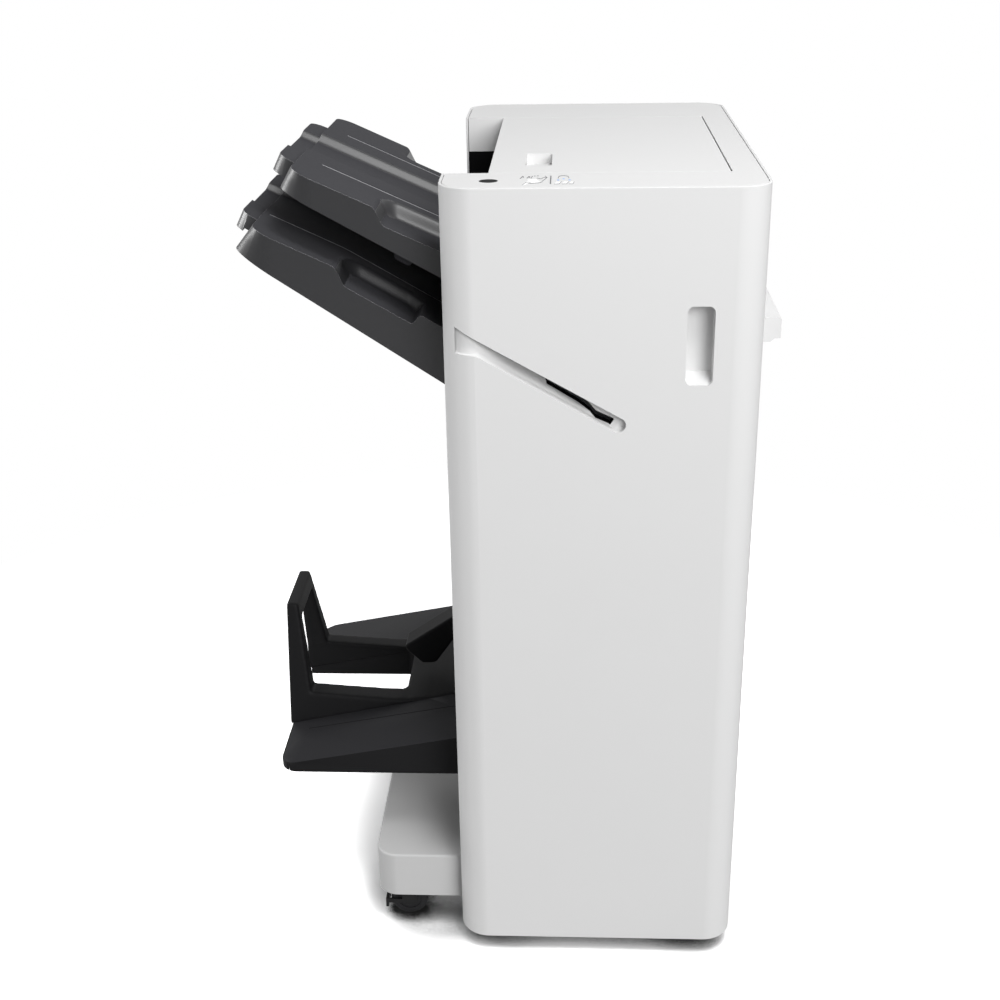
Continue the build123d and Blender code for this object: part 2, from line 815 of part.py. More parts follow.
def make_caster_fork(x, y):
    # Swivel head, two arms and the axle; the wheel trails to the left of the swivel.
    head_low = beam_bottom - fit_gap - head_height
    half = wheel_width / 2 + fork_gap
    axle_x = x - caster_trail
    crown_low = head_low - fork_wall
    fork = rod_z(x, y, head_radius, head_low, beam_bottom - fit_gap)
    fork += box(axle_x - fork_width / 2, x + head_radius / 2, y - half - fork_wall, y + half + fork_wall,
                crown_low, head_low)
    for side in (-1, 1):
        inner = y + side * half
        outer = inner + side * fork_wall
        arm = box(axle_x - fork_width / 2, axle_x + fork_width / 2, min(inner, outer), max(inner, outer),
                  wheel_radius, head_low)
        fork += arm + rod_y(axle_x, wheel_radius, fork_width / 2, min(inner, outer), max(inner, outer))
    fork += rod_y(axle_x, wheel_radius, axle_radius, y - half - fork_wall, y + half + fork_wall)
    # The brake pedal stands beyond the wheel on an arm of its own.
    pedal_x = axle_x - wheel_radius - pedal_drop
    fork += box(pedal_x - pedal_width, axle_x, y - half - fork_wall, y - half, wheel_radius - pedal_height / 2,
                wheel_radius)
    fork += box(pedal_x - pedal_width, pedal_x, y - half - fork_wall, y + half, wheel_radius - pedal_height,
                wheel_radius)
    # A stem above the head holds the fork in the beam.
    return fork + rod_z(x, y, swivel_stem_radius, beam_bottom - fit_gap, beam_bottom + beam_height / 2)


def make_caster_wheel(x, y):
    axle_x = x - caster_trail
    half = wheel_width / 2
    wheel = rod_y(axle_x, wheel_radius, wheel_radius, y - half, y + half)
    wheel = fillet(wheel.edges().filter_by(GeomType.CIRCLE), fork_wall)
    dish = wheel_radius - wheel_hub_radius
    for side in (-1, 1):
        face = y + side * half
        ring = rod_y(axle_x, wheel_radius, wheel_hub_radius + dish / 2, min(face, face - side * fork_gap * 2),
                     max(face, face - side * fork_gap * 2))
        wheel -= ring - rod_y(axle_x, wheel_radius, wheel_hub_radius, face - wheel_width, face + wheel_width)
    return wheel - rod_y(axle_x, wheel_radius, axle_radius + running_gap, y - wheel_width, y + wheel_width)


def drill_stems(frame):
    # Sockets in the beams for the casters' stems.
    for x, y in caster_places().values():
        frame -= rod_z(x, y, swivel_stem_radius + running_gap, beam_bottom - overrun,
                       beam_bottom + beam_height / 2 + fit_gap)
    return frame


def roller_pairs():
    # Each pair's name, place along x, nip height and the two radii.
    return {
        "entrance": (entrance_roller_x, dock_top - inlet_from_top, drive_roller_radius, idler_roller_radius),
        "upper_exit": (exit_roller_x, upper_exit_height, drive_roller_radius, idler_roller_radius),
        "main_exit": (exit_roller_x, main_exit_height, drive_roller_radius, idler_roller_radius),
    }


def shaft_places():
    places = []
    for x, z, drive_radius, idler_radius in roller_pairs().values():
        places.append((x, z - nip_gap / 2 - drive_radius, shaft_radius))
        places.append((x, z + nip_gap / 2 + idler_radius, shaft_radius))
    for side in (-1, 1):
        places.append((fold_roller_x, fold_nip_height + side * (fold_roller_radius + nip_gap / 2), fold_shaft_radius))
    return places


def make_side_plate(y0):
    plate = box(plate_left, plate_right, y0, y0 + plate_wall, plate_foot, plate_top)
    for x, z, radius in shaft_places():
        plate -= rod_y(x, z, radius + running_gap + bush_wall, y0 - overrun, y0 + plate_wall + overrun)
    return plate


def make_front_plate():
    plate = make_side_plate(front_plate_y)
    # The plate is open where sheets are put in by hand for stapling.
    left = plate_left - overrun
    right = slot_top_end + stapler_mouth
    plate -= prism_along_y([
        (left, slot_low_height(left) - slot_wall), (slot_low_end, slot_low_height(slot_low_end) - slot_wall),
        (right, slot_low_height(slot_top_end)), (right, slot_top_height(slot_low_end) + slot_wall),
        (left, slot_top_height(left) + slot_wall),
    ], front_plate_y - overrun, front_plate_y + plate_wall + overrun)
    return plate


def make_rear_plate():
    return make_side_plate(rear_plate_y)


def make_shaft_bushes():
    bushes = []
    for x, z, radius in shaft_places():
        for y0, side in ((front_plate_y, 1), (rear_plate_y, -1)):
            outer = radius + running_gap + bush_wall
            inner_face = y0 + plate_wall if side > 0 else y0
            flange = inner_face + side * bush_flange_wall
            bush = rod_y(x, z, outer, y0, y0 + plate_wall)
            bush += rod_y(x, z, outer + bush_flange, min(inner_face, flange), max(inner_face, flange))
            bushes.append(bush - rod_y(x, z, radius + running_gap, y0 - overrun * 2, y0 + plate_wall + overrun * 2))
    return Compound(children=bushes)


def make_stays():
    low = plate_foot + stay_low_height
    high = plate_top - stay_top_drop
    middle_top = stitch_height
    places = ((stay_left_x, low), (stay_right_x, low), (stay_right_x, high),
              (stitch_x + stitch_size / 2 - stay_size / 2, middle_top - stay_size))
    bars = [box(x, x + stay_size, plate_inner_front, plate_inner_rear, z, z + stay_size) for x, z in places]
    posts = [rod_y(x, z, post_radius, rear_plate_y + plate_wall, cabinet_depth - casing_wall)
             for x, z in rear_screw_places()]
    return Compound(children=bars + posts)


def rear_screw_places():
    step = (cabinet_height - 2 * screw_margin) / (screw_rows - 1)
    sides = (corner_radius + screw_inset, cabinet_width - corner_radius - screw_inset)
    return [(x, panel_bottom + screw_margin + step * row) for x in sides for row in range(screw_rows)]


def make_roller(x, z, radius):
    start = front_plate_y - shaft_front_stub
    end = rear_plate_y + plate_wall + shaft_rear_stub
    roller = rod_y(x, z, shaft_radius, start, end)
    length = plate_inner_rear - plate_inner_front
    for share in roller_inset_shares:
        middle = plate_inner_front + length * share
        roller += rod_y(x, z, radius, middle - roller_width / 2, middle + roller_width / 2)
    return roller


def make_drive_roller(name):
    x, z, radius, _ = roller_pairs()[name]
    centre = z - nip_gap / 2 - radius
    roller = make_roller(x, centre, radius)
    start = rear_plate_y + plate_wall + fit_gap * 2
    return roller + rod_y(x, centre, pulley_radius, start, start + pulley_width)


def make_idler_roller(name):
    x, z, _, radius = roller_pairs()[name]
    return make_roller(x, z + nip_gap / 2 + radius, radius)


def fold_shaft_height(side):
    return fold_nip_height + side * (fold_roller_radius + nip_gap / 2)


def make_fold_roller(side):
    z = fold_shaft_height(side)
    stub = knob_length + shaft_front_stub if side < 0 else shaft_front_stub
    roller = rod_y(fold_roller_x, z, fold_shaft_radius, front_plate_y - stub,
                   rear_plate_y + plate_wall + shaft_rear_stub)
    return roller + rod_y(fold_roller_x, z, fold_roller_radius, plate_inner_front + fold_roller_margin,
                          plate_inner_rear - fold_roller_margin)


def make_fold_knob():
    # The hand wheel that frees a jam; its grip has lobes all round.
    z = fold_shaft_height(-1)
    y0 = front_plate_y - knob_length - shaft_front_stub / 2
    y1 = front_plate_y - shaft_front_stub / 2
    knob = rod_y(fold_roller_x, z, knob_radius - knob_lobe_radius, y0, y1)
    for i in range(knob_lobe_count):
        angle = 2 * math.pi * i / knob_lobe_count
        reach = knob_radius - knob_lobe_radius
        knob += rod_y(fold_roller_x + reach * math.cos(angle), z + reach * math.sin(angle), knob_lobe_radius, y0, y1)
    return knob - rod_y(fold_roller_x, z, fold_shaft_radius, y0 - overrun, y1 + overrun)


def blade_tip_x():
    return fold_roller_x + fold_roller_radius + blade_tip_gap


def make_fold_blade():
    tip = blade_tip_x()
    root = tip + blade_length
    blade = box(tip, root, plate_inner_front + blade_margin, plate_inner_rear - blade_margin,
                fold_nip_height - blade_wall / 2, fold_nip_height + blade_wall / 2)
    holder = box(root - blade_holder_depth, root, plate_inner_front + fit_gap, plate_inner_rear - fit_gap,
                 fold_nip_height - blade_holder_height / 2, fold_nip_height + blade_holder_height / 2)
    return blade + holder


def stack_top_height(x):
    return line_height((stack_left, stack_left_height), (stack_right, stack_right_height), x)


def make_process_tray():
    # The sloping tray on which a set is squared and stapled, with a stop at its low end.
    right = stack_right + stack_wall
    return prism_along_y([
        (stack_left, stack_left_height), (stack_right, stack_right_height),
        (stack_right, stack_right_height + stop_lip), (right, stack_right_height + stop_lip),
        (right, stack_right_height - stack_wall), (stack_left, stack_left_height - stack_wall),
    ], plate_inner_front, plate_inner_rear)


def make_jogger(side):
    # A fence that squares the sheets; it slides across the stapling tray.
    face = plate_inner_front + jogger_margin if side > 0 else plate_inner_rear - jogger_margin
    gap = fit_gap
    x0 = stack_left + jogger_wall
    x1 = stack_right - jogger_wall
    wall = prism_along_y([
        (x0, stack_top_height(x0) + gap), (x1, stack_top_height(x1) + gap),
        (x1, stack_top_height(x1) + gap + jogger_height), (x0, stack_top_height(x0) + gap + jogger_height),
    ], min(face, face - side * jogger_wall), max(face, face - side * jogger_wall))
    foot = prism_along_y([
        (x0, stack_top_height(x0) + gap), (x1, stack_top_height(x1) + gap),
        (x1, stack_top_height(x1) + gap + jogger_wall), (x0, stack_top_height(x0) + gap + jogger_wall),
    ], min(face, face - side * jogger_foot), max(face, face - side * jogger_foot))
    return wall + foot


def make_stapler_rail():
    return box(rail_bar_x, rail_bar_x + rail_bar_width, plate_inner_front, plate_inner_rear,
               rail_bar_top - rail_bar_height, rail_bar_top)


def make_stapler():
    # Head over base, joined at the back, with its mouth open towards the stapling tray.
    y0 = plate_inner_front + stapler_start_gap
    y1 = y0 + stapler_width
    left = stack_right + stack_wall + fit_gap * 4
    right = left + stapler_length
    low = rail_bar_top + fit_gap
    mouth_low = low + stapler_base_height
    mouth_high = mouth_low + stapler_mouth
    body = box(left, right, y0, y1, low, mouth_high + stapler_head_height)
    body = fillet(body.edges().filter_by(Axis.Y).sort_by(Axis.Z)[-2:], stapler_mouth / 2)
    return body - box(left - overrun, right - stapler_mouth, y0 - overrun, y1 + overrun, mouth_low, mouth_high)


def make_saddle_stitcher():
    # Two stitching heads on one bed, with a throat for the folded sheets to pass.
    x1 = stitch_x + stitch_size
    y0 = centre_y - stitch_spacing / 2 - stitch_width / 2
    y1 = centre_y + stitch_spacing / 2 + stitch_width / 2
    bed_top = stitch_height + stitch_rise / 2
    unit = box(stitch_x, x1, y0, y1, stitch_height, bed_top)
    unit += box(x1 - stitch_throat, x1, y0, y1, bed_top, bed_top + stitch_throat + stitch_rise)
    for y in (centre_y - stitch_spacing / 2, centre_y + stitch_spacing / 2):
        unit += box(stitch_x, x1, y - stitch_width / 2, y + stitch_width / 2, bed_top + stitch_throat,
                    bed_top + stitch_throat + stitch_rise)
    return unit


def make_lift_rails():
    # Two channels behind the recess wall; each holds one side of both tray carriages.
    rails = []
    for y in arm_places():
        for side in (-1, 1):
            inner = y + side * (shoe_width / 2 + fit_gap)
            outer = inner + side * rail_width
            rails.append(box(back_wall_right, back_wall_right + shoe_depth, min(inner, outer), max(inner, outer),
                             rail_bottom, rail_top))
    return Compound(children=rails)


def make_carriage(data, bar_height):
    # Shoes in both rails, a cross bar between them and an arm through each slot.
    x0 = back_wall_right + fit_gap
    middle = (data["root_top"][1] + data["root_bottom"][1]) / 2
    carriage = None
    for y in arm_places():
        shoe = box(x0, x0 + shoe_depth, y - shoe_width / 2, y + shoe_width / 2,
                   bar_height + cross_bar_height / 2 - shoe_height / 2,
                   bar_height + cross_bar_height / 2 + shoe_height / 2)
        low = middle - arm_height / 2
        arm = box(tray_root, x0 + shoe_depth / 2, y - arm_width / 2, y + arm_width / 2, low, low + arm_height)
        piece = shoe + arm
        carriage = piece if carriage is None else carriage + piece
    ends = arm_places()
    bar_x = x0 + shoe_depth
    bar = box(bar_x, bar_x + cross_bar_depth, ends[0] - shoe_width / 2, ends[1] + shoe_width / 2, bar_height,
              bar_height + cross_bar_height)
    return carriage + bar


def tray_slope(data):
    (x0, z0), (x1, z1) = data["end_top"], data["bend"]
    return (z1 - z0) / (x1 - x0)


def tray_outline(data, inset):
    # The side view: end, upper line with its bend, root and lower line.
    ex, ez = data["end_top"]
    bx, bz = data["bend"]
    rx, rz = data["root_top"]
    lx, lz = data["end_bottom"]
    sx, sz = data["root_bottom"]
    if inset == 0:
        return [(ex, ez), (bx, bz), (rx, rz), (sx, sz), (lx, lz)]
    low_drop = inset * 2
    slope = tray_slope(data)
    return [(ex + inset, ez + slope * inset - inset), (bx, bz - inset), (rx - inset, rz - inset),
            (sx - inset, sz - low_drop), (lx + inset, lz - low_drop)]


def slope_cutter(section, x0, z0, slope, x1):
    # A cross-section in depth and height, drawn along a sloping line from x0 to x1.
    face = make_face(Polyline(*[(x0, y, z0 + z) for y, z in section], close=True))
    run = x1 - x0
    return extrude(face, amount=math.hypot(run, run * slope), dir=Vector(1, 0, slope).normalized())


def valley_section(grow):
    high = valley_depth * 2
    floor_half = valley_floor_width / 2 + grow
    floor = -valley_depth - grow
    rise = (high - floor) * (valley_width - valley_floor_width) / 2 / valley_depth
    return [(centre_y - floor_half, floor), (centre_y + floor_half, floor),
            (centre_y + floor_half + rise, high), (centre_y - floor_half - rise, high)]


def tray_lines(data):
    # The two straight stretches of the upper line: start, height, slope and end.
    ex, ez = data["end_top"]
    bx, bz = data["bend"]
    rx, rz = data["root_top"]
    first = (bz - ez) / (bx - ex)
    second = (rz - bz) / (rx - bx)
    return ((ex - tray_overshoot, ez - first * tray_overshoot, first, bx), (bx, bz, second, rx + tray_overshoot))


def cut_valley(body, data, grow):
    for x0, z0, slope, x1 in tray_lines(data):
        body -= slope_cutter(valley_section(grow), x0, z0, slope, x1)
    return body


def scallop_block(data, grow, side):
    # A finger recess in a long edge; it starts with a short ramp and has a sloping inner wall.
    x0, x1 = data["scallop"]
    edge = tray_front if side > 0 else tray_rear
    bx, bz = data["bend"]
    rx, rz = data["root_top"]
    slope = (rz - bz) / (rx - bx)
    floor_y = edge + side * (scallop_floor_width + grow)
    wall_y = edge + side * (scallop_width + grow)
    out_y = edge - side * overrun * 4
    section = [(out_y, -scallop_depth - grow), (floor_y, -scallop_depth - grow), (wall_y, 0),
               (wall_y, valley_depth), (out_y, valley_depth)]
    block = slope_cutter(section, bx - tray_overshoot, bz - slope * tray_overshoot, slope, rx + tray_overshoot)
    ramp = scallop_ramp
    exit_run = data["scallop_exit"]
    depth = scallop_depth + grow + overrun
    far = valley_depth
    side_view = [
        (x0 - grow - ramp / 2, line_height(data["bend"], data["root_top"], x0) + far),
        (x0 - grow, line_height(data["bend"], data["root_top"], x0)),
        (x0 + ramp - grow, line_height(data["bend"], data["root_top"], x0 + ramp) - depth),
        (x1 - exit_run + grow, line_height(data["bend"], data["root_top"], x1 - exit_run) - depth),
        (x1 + grow, line_height(data["bend"], data["root_top"], x1)),
        (x1 + grow, line_height(data["bend"], data["root_top"], x1) + far),
    ]
    low_y, high_y = sorted((out_y, wall_y))
    return block & prism_along_y(side_view, low_y, high_y)


def tray_form(data, inset):
    front = tray_front + inset
    rear = tray_rear - inset
    body = prism_along_y(tray_outline(data, inset), front, rear)
    heights = [z for x, z in tray_outline(data, inset)]
    left = min(x for x, z in tray_outline(data, inset))
    radius = tray_corner_radius - inset
    plan = rounded_plan(left, tray_root + overrun, front, rear, min(heights) - overrun, max(heights) + overrun,
                        (radius, 0, 0, radius))
    body = body & plan
    body = cut_valley(body, data, inset)
    for side in (1, -1):
        body -= scallop_block(data, inset, side)
    return body


def cut_grooves(body, data):
    for y in (tray_front + groove_inset, tray_rear - groove_inset):
        for index, (x0, z0, slope, x1) in enumerate(tray_lines(data)):
            start = data["end_top"][0] + groove_start if index == 0 else x0
            height = z0 + slope * (start - x0)
            section = [(y - groove_width / 2, -groove_depth), (y + groove_width / 2, -groove_depth),
                       (y + groove_width / 2, groove_depth), (y - groove_width / 2, groove_depth)]
            body -= slope_cutter(section, start, height, slope, min(x1, tray_root + overrun))
    return body


def extension_section(play, lip):
    # The extension's section: two lobes with a valley under the tray's own valley.
    half = extension_width / 2 + play
    top = -extension_drop + play
    low = -extension_drop - extension_height - lip - play
    floor_half = valley_floor_width / 2 + tray_wall - play
    rise = (valley_width - valley_floor_width) / 2 * extension_valley_depth / valley_depth
    valley = top - extension_valley_depth
    return [(centre_y - half, low), (centre_y + half, low), (centre_y + half, top), (centre_y + floor_half + rise, top),
            (centre_y + floor_half, valley), (centre_y - floor_half, valley),
            (centre_y - floor_half - rise, top), (centre_y - half, top)]


def extension_block(data, play, x0, x1, lip=0):
    ex, ez = data["end_top"]
    slope = tray_slope(data)
    return slope_cutter(extension_section(play, lip), x0, ez + slope * (x0 - ex), slope, x1)


def make_tray_shell(data):
    shell = tray_form(data, 0) - tray_form(data, tray_wall)
    shell = cut_grooves(shell, data)
    left = data["end_bottom"][0] - overrun
    return shell - extension_block(data, extension_play, left, data["end_top"][0] + tray_wall * 4)


def make_tray_floor(data):
    # The flat plate that closes the tray's underside, inside its side walls.
    rx, rz = data["root_bottom"]
    lx, lz = data["end_bottom"]
    start = lx + tray_wall * 3
    end = rx - tray_wall
    low = line_height(data["end_bottom"], data["root_bottom"], start)
    low_end = line_height(data["end_bottom"], data["root_bottom"], end)
    wall = tray_floor_wall
    plate = prism_along_y([(start, low), (end, low_end), (end, low_end + wall), (start, low + wall)],
                          tray_front + tray_wall, tray_rear - tray_wall)
    plan = rounded_plan(start, end + overrun, tray_front + tray_wall, tray_rear - tray_wall, low_end - overrun,
                        low + overrun * 2, (tray_corner_radius, 0, 0, tray_corner_radius))
    return plate & plan


def make_sensor_lug(data):
    # A lug with a rounded foot under the tray's floor plate.
    right = lug_left + lug_width
    front = tray_front + lug_inset
    left_height = line_height(data["end_bottom"], data["root_bottom"], lug_left)
    right_height = line_height(data["end_bottom"], data["root_bottom"], right)
    lug = prism_along_y([
        (lug_left, left_height - lug_depth), (right, right_height - lug_depth),
        (right, right_height + tray_floor_wall / 2), (lug_left, left_height + tray_floor_wall / 2),
    ], front, front + lug_thickness)
    feet = [e for e in lug.edges().filter_by(Axis.Y)
            if e.center().Z < line_height(data["end_bottom"], data["root_bottom"], e.center().X)]
    return fillet(feet, lug_radius)


def make_extension(data):
    # The sliding end piece: its end wall leans out at the foot, and a lip hangs outside the tray.
    ex, ez = data["end_top"]
    outer = ex - extension_reach
    foot = outer - extension_lean
    inner = outer + extension_length
    slope = tray_slope(data)
    body = extension_block(data, 0, foot, inner)
    body += extension_block(data, 0, foot, data["end_bottom"][0] - extension_lip_gap, extension_lip_height)
    front = centre_y - extension_width / 2
    rear = centre_y + extension_width / 2
    plan = rounded_plan(foot, inner + overrun, front, rear, ez + slope * extension_length - extension_height * 2,
                        ez + valley_width, (extension_corner, 0, 0, extension_corner))
    top = ez + slope * (outer - ex) - extension_drop
    low = ez + slope * (foot - ex) - extension_drop - extension_height - extension_lip_height
    lean = prism_along_y([(foot - overrun, low), (foot, low), (outer, top), (outer, top + extension_height),
                          (foot - overrun, top + extension_height)], front - overrun, rear + overrun)
    return (body & plan) - lean


def booklet_top(x):
    return booklet_end_top + booklet_slope * (x - booklet_end)


def make_booklet_tray():
    right = back_wall_left
    outline = [(booklet_end, booklet_bottom), (right, booklet_bottom), (right, booklet_top(right)),
               (booklet_end, booklet_end_top)]
    tray = prism_along_y(outline, tray_front, tray_rear)
    tray &= rounded_plan(booklet_end, right + overrun, tray_front, tray_rear, booklet_bottom, booklet_top(right),
                         (booklet_radius, 0, 0, booklet_radius))
    # Hollow underside with a wall all round.
    wall = casing_wall
    hollow = [(booklet_end + wall * 4, booklet_bottom - overrun), (right - wall, booklet_bottom - overrun),
              (right - wall, booklet_top(right - wall) - wall),
              (booklet_end + wall * 4, booklet_top(booklet_end + wall * 4) - wall)]
    cavity = prism_along_y(hollow, tray_front + wall, tray_rear - wall)
    opening = deck_opening_block(booklet_bottom - overrun * 2, stop_top)
    rim = deck_opening_block(booklet_bottom - overrun * 2, stop_top, wall)
    tray -= cavity - rim
    tray -= opening
    groove_y = tray_front + booklet_groove_inset
    x0 = booklet_end + booklet_groove_start
    groove = slope_cutter([
        (groove_y - groove_width / 2, -groove_depth), (groove_y + groove_width / 2, -groove_depth),
        (groove_y + groove_width / 2, groove_depth), (groove_y - groove_width / 2, groove_depth),
    ], x0, booklet_top(x0), booklet_slope, booklet_groove_end)
    return tray - groove


def deck_opening_block(z0, z1, grow=0):
    # The slot through deck and tray, open at the outer end and rounded at the other.
    block = box(stop_end - overrun, deck_opening_end + grow, stop_window_front - grow, stop_window_rear + grow, z0, z1)
    edges = block.edges().filter_by(Axis.Z).sort_by(Axis.X)[-2:]
    return fillet(edges, deck_opening_radius)


def make_booklet_stop():
    # Raised deck and leaning end frame, moulded as one piece that sits on the tray.
    deck_points = [(deck_left + (deck_right - deck_left) * along, deck_low + deck_crown * up)
                   for along, up in deck_outline_shares]
    deck_end_height = deck_points[0][1]
    tail_x = deck_right + deck_tail
    middle_x = (stop_end + stop_foot_x) / 2
    outline = [(middle_x, booklet_top(middle_x)), (tail_x, booklet_top(tail_x))]
    outline.extend(reversed(deck_points))
    outline.append((middle_x, deck_end_height))
    deck = prism_along_y(outline, stop_front_foot, stop_rear_foot)
    end_outline = [
        (stop_end, booklet_top(booklet_end)), (stop_foot_x, booklet_top(stop_foot_x)), (stop_foot_x, deck_end_height),
        (stop_end + stop_top_thickness, stop_top), (stop_end, stop_top),
    ]
    end = prism_along_y(end_outline, stop_front_foot, stop_rear_foot)
    body = deck + end
    # The sides lean in: the same two planes shape the end frame and the deck.
    low = booklet_bottom
    high = stop_top + overrun
    front_lean = (stop_front_top - stop_front_foot) / (stop_top - booklet_end_top)
    rear_lean = (stop_rear_foot - stop_rear_top) / (stop_top - booklet_end_top)
    lift = high - booklet_end_top
    sink = booklet_end_top - low
    lean = prism_along_x([
        (stop_front_foot - front_lean * sink, low), (stop_rear_foot + rear_lean * sink, low),
        (stop_rear_foot - rear_lean * lift, high), (stop_front_foot + front_lean * lift, high),
    ], stop_end - overrun, tail_x + overrun)
    body &= lean
    body -= deck_opening_block(booklet_bottom, deck_end_height + overrun)
    sill = deck_end_height - foot_fillet
    window = prism_along_x([
        (stop_window_front, sill), (stop_window_rear, sill),
        (stop_window_top_rear, stop_window_top), (stop_window_top_front, stop_window_top),
    ], stop_end - overrun, stop_foot_x + foot_fillet * 3)
    return body - window


def flap_point(share):
    return flap_left + (flap_right - flap_left) * share[0], flap_low + (flap_high - flap_low) * share[1]


def make_booklet_flap():
    shares = (flap_nose_share, flap_chin_share, flap_tip_left_share, flap_tip_right_share, flap_heel_share,
              flap_top_share)
    nose, chin, tip_left, tip_right, heel, top = [flap_point(share) for share in shares]
    y0 = centre_y - flap_width / 2
    y1 = centre_y + flap_width / 2
    flap = prism_along_y([nose, chin, tip_left, tip_right, heel, top], y0, y1)
    edges = flap.edges().filter_by(Axis.Y)
    tips = [e for e in edges if e.center().Z < tip_right[1] + overrun]
    flap = fillet(tips, flap_tip_radius)
    noses = [e for e in flap.edges().filter_by(Axis.Y) if e.center().X < chin[0] + overrun]
    flap = fillet(noses, flap_nose_radius)
    neck = prism_along_y([
        (heel[0] - flap_hub_radius, heel[1] - flap_hub_radius), (flap_pin_x, flap_pin_height - flap_hub_radius),
        (flap_pin_x, flap_pin_height + flap_hub_radius), (top[0] - flap_hub_radius, top[1] - overrun),
    ], y0, y1)
    flap += neck + rod_y(flap_pin_x, flap_pin_height, flap_hub_radius, y0, y1)
    return flap - rod_y(flap_pin_x, flap_pin_height, flap_pin_radius + running_gap, y0 - overrun, y1 + overrun)


def make_flap_bracket():
    # Two ears on the recess wall hold the flap's pin.
    pin = rod_y(flap_pin_x, flap_pin_height, flap_pin_radius, centre_y - flap_pin_length / 2,
                centre_y + flap_pin_length / 2)
    bracket = pin
    gap = flap_width / 2 + fit_gap * 3
    for side in (-1, 1):
        inner = centre_y + side * gap
        outer = inner + side * flap_ear_wall
        bracket += box(flap_pin_x - flap_hub_radius, back_wall_left, min(inner, outer), max(inner, outer),
                       flap_pin_height - flap_hub_radius, flap_pin_height + flap_hub_radius)
    return bracket


def make_drive_motor():
    y0 = rear_plate_y + plate_wall
    half = motor_flange / 2
    motor = box(motor_x - half, motor_x + half, y0, y0 + motor_flange_wall, motor_height - half, motor_height + half)
    motor = fillet(motor.edges().filter_by(Axis.Y), motor_pinion_radius)
    return motor + rod_y(motor_x, motor_height, motor_radius, y0 + motor_flange_wall, y0 + motor_flange_wall + motor_length)


def make_control_board():
    y0 = rear_plate_y + plate_wall
    right = board_left + board_width
    top = board_bottom + board_height
    board = box(board_left, right, y0 + board_post, y0 + board_post + board_wall, board_bottom, top)
    for x in (board_left + board_margin, right - board_margin):
        for z in (board_bottom + board_margin, top - board_margin):
            board += rod_y(x, z, board_post_radius, y0, y0 + board_post)
    face = y0 + board_post + board_wall
    for step in range(socket_count):
        x = board_left + board_margin * 2 + step * (socket_size + board_margin)
        board += box(x, x + socket_size, face, face + socket_depth, board_bottom + board_margin * 2,
                     board_bottom + board_margin * 2 + socket_height)
    return board


def make_cover_screws():
    # Screw heads on the rear cover, each with a round socket.
    screws = []
    for x, z in rear_screw_places():
        head = rod_y(x, z, screw_radius, cabinet_depth, cabinet_depth + screw_head)
        screws.append(head - rod_y(x, z, screw_socket_radius, cabinet_depth + screw_head / 2,
                                   cabinet_depth + overrun))
    return Compound(children=screws)


def build_parts():
    parts = {
        "front_door": make_front_door(),
        "handle_cup": make_handle_cup(),
        "staple_slot_liner": make_slot_liner(),
        "door_hinges": make_door_hinges(),
        "top_cover": make_top_cover(),
        "top_lid": make_top_lid(),
        "lid_hinge_pins": make_lid_pins(),
        "status_window": make_status_window(),
        "left_front_cover": make_left_front_cover(),
        "left_rear_cover": make_left_rear_cover(),
        "right_cover": make_right_cover(),
        "rear_cover": make_rear_cover(),
        "delivery_cover": make_delivery_cover(),
        "docking_bar": make_docking_bar(),
        "base_cover": make_base_cover(),
        "base_frame": drill_stems(make_base_frame()),
        "front_side_plate": make_front_plate(),
        "rear_side_plate": make_rear_plate(),
        "frame_stays": make_stays(),
        "shaft_bushes": make_shaft_bushes(),
        "lift_rails": make_lift_rails(),
        "booklet_tray": make_booklet_tray(),
        "booklet_stop": make_booklet_stop(),
        "booklet_flap": make_booklet_flap(),
        "flap_bracket": make_flap_bracket(),
        "fold_roller_upper": make_fold_roller(1),
        "fold_roller_lower": make_fold_roller(-1),
        "fold_knob": make_fold_knob(),
        "fold_blade": make_fold_blade(),
        "stapling_tray": make_process_tray(),
        "front_jogger": make_jogger(1),
        "rear_jogger": make_jogger(-1),
        "stapler_rail": make_stapler_rail(),
        "stapler": make_stapler(),
        "saddle_stitcher": make_saddle_stitcher(),
        "drive_motor": make_drive_motor(),
        "control_board": make_control_board(),
        "cover_screws": make_cover_screws(),
    }
    for name, data, bar_drop in (("upper_tray", upper_tray_data, upper_bar_drop),
                                 ("lower_tray", lower_tray_data, lower_bar_drop)):
        parts[name] = make_tray_shell(data)
        parts[name + "_floor"] = make_tray_floor(data)
        parts[name + "_extension"] = make_extension(data)
        parts[name + "_carriage"] = make_carriage(data, panel_top - bar_drop)
    parts["upper_tray_floor"] += make_sensor_lug(upper_tray_data)
    for name in roller_pairs():
        parts[name + "_drive_roller"] = make_drive_roller(name)
        parts[name + "_idler_roller"] = make_idler_roller(name)
    for name, (x, y) in caster_places().items():
        parts["caster_fork_" + name] = make_caster_fork(x, y)
        parts["caster_wheel_" + name] = make_caster_wheel(x, y)
    return parts


def whole_box(parts):
    boxes = [shape.bounding_box() for shape in parts.values()]
    lows = [min(getattr(b.min, axis) for b in boxes) for axis in "XYZ"]
    highs = [max(getattr(b.max, axis) for b in boxes) for axis in "XYZ"]
    return lows, highs


parts = build_parts()
lows, highs = whole_box(parts)
origin = ((lows[0] + highs[0]) / 2, (lows[1] + highs[1]) / 2, lows[2])
os.makedirs("parts", exist_ok=True)
for name, shape in parts.items():
    export_step(Pos(-origin[0], -origin[1], -origin[2]) * shape, "parts/" + name + ".step")
print("nodes", len(parts), "origin", origin, "size", [high - low for low, high in zip(lows, highs)])
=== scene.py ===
import json
import math
import bmesh
import bpy
from mathutils import Matrix, Vector


